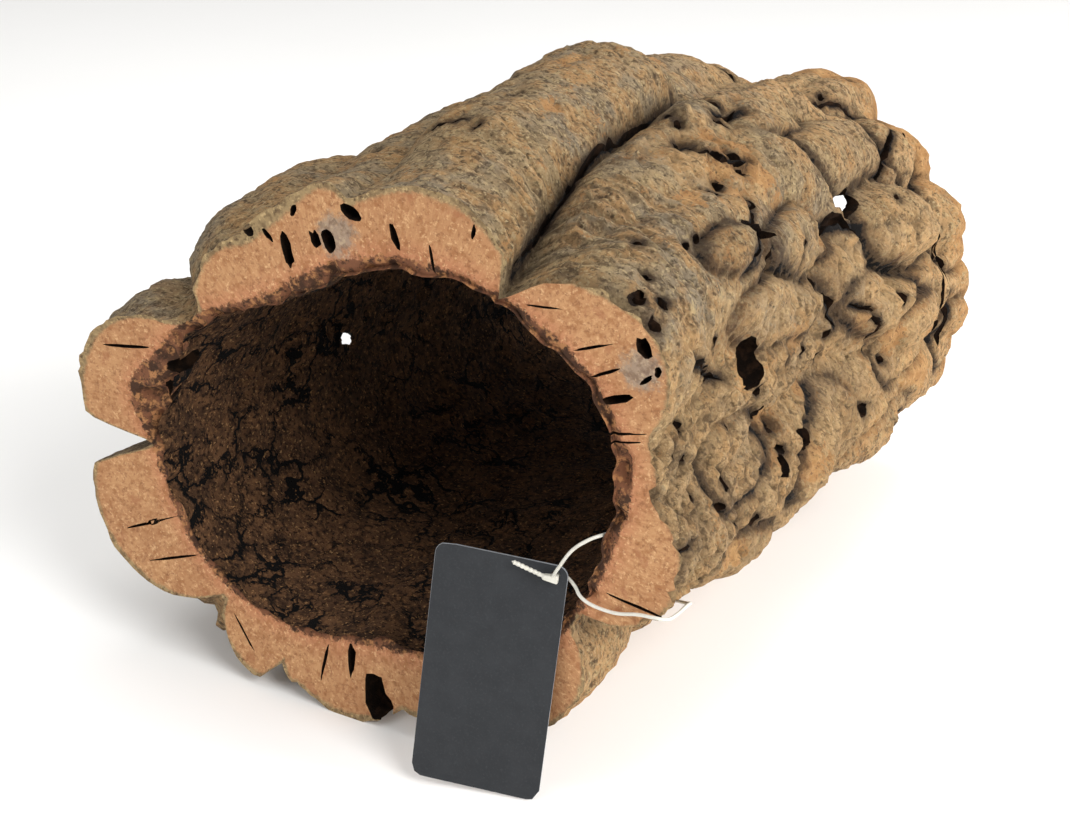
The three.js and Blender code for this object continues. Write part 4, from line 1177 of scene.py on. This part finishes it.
rise = np.radians(TAIL_RISE)
tail_start = np.array([TAG_HOLE[0] + HEAD_BEYOND_HOLE - HEAD_LENGTH + TAIL_IN_HEAD, -HEAD_FRONT, TAG_HOLE[1]])
reach = np.linspace(0, TAIL_LENGTH, TAIL_RINGS)
tail_path = on_tag(tail_start + reach[:, None] * np.array([-np.cos(rise), 0, np.sin(rise)]))
barbs = TAIL_RADIUS * (0.72 + 0.28 * np.abs(np.sin(np.pi * reach / BARB_SPACING)))
barbs = barbs * np.clip((TAIL_LENGTH - reach) / TIP_LENGTH, 0.3, 1)
head = put_in_scene("lock_head", head_mesh("lock_head"))
tail = put_in_scene("barbed_tail", thread_mesh("barbed_tail", tail_path, barbs, TAIL_SIDES))
for piece in (head, tail):
    piece.data.materials.append(nylon)
    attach(piece, "root")
    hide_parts("tag_loop")

# Studio
# A plain pale paper floor with soft lights all round, most of it from the right, and a camera that stands
# where the photograph was taken from.
FLOOR_REACH = 4.0
WORLD_LIGHT = 0.5
CAMERA_BEARING = 30.0
CAMERA_RISE = 25.0
CAMERA_PLACE = (0.354405, -0.644186, 0.408132)
LENS_LENGTH = 67.29
SENSOR_WIDTH = 36.0
floor_mesh = bpy.data.meshes.new("studio_floor")
corners = [(FLOOR_REACH * x, FLOOR_REACH * y, 0) for x, y in ((-1, -1), (1, -1), (1, 1), (-1, 1))]
floor_mesh.from_pydata(corners, [], [(0, 1, 2, 3)])
floor = put_in_scene("studio_floor", floor_mesh)
floor_paint, tree, shader, where = new_material("studio_paper", 0.9, 0.2)
paper = paint(tree, where, "#f1f0ee", [((600, 600), 0.3, 0.7, 1, "#f4f3f1")])
tree.links.new(paper, shader.inputs["Base Color"])
floor_mesh.materials.append(floor_paint)

bpy.context.scene.view_settings.view_transform = "Standard"
world = bpy.data.worlds.new("studio")
world.use_nodes = True
world.node_tree.nodes["Background"].inputs["Color"].default_value = linear("#f4f4f4")
world.node_tree.nodes["Background"].inputs["Strength"].default_value = WORLD_LIGHT
bpy.context.scene.world = world
aim = Vector((0, 0, 0.1))
for name, place, size, power in (
    ("key", (1.35, -0.70, 1.15), 0.9, 25),
    ("fill", (-0.9, -1.3, 1.0), 1.4, 8),
    ("top", (0.0, 0.1, 1.7), 1.4, 13),
    ("side", (1.30, 0.45, 0.50), 0.9, 24),
):
    lamp = bpy.data.lights.new(name, "AREA")
    lamp.shape = "DISK"
    lamp.size = size
    lamp.energy = power
    light = put_in_scene(name, lamp)
    light.location = place
    light.rotation_euler = (aim - Vector(place)).to_track_quat("-Z", "Y").to_euler()

lens = bpy.data.cameras.new("photo_camera")
lens.lens = LENS_LENGTH
lens.sensor_width = SENSOR_WIDTH
camera = put_in_scene("photo_camera", lens)
camera.location = CAMERA_PLACE
bearing, rise = np.radians((CAMERA_BEARING, CAMERA_RISE))
look = Vector((-np.sin(bearing) * np.cos(rise), np.cos(bearing) * np.cos(rise), -np.sin(rise)))
camera.rotation_euler = look.to_track_quat("-Z", "Y").to_euler()
bpy.context.scene.camera = camera
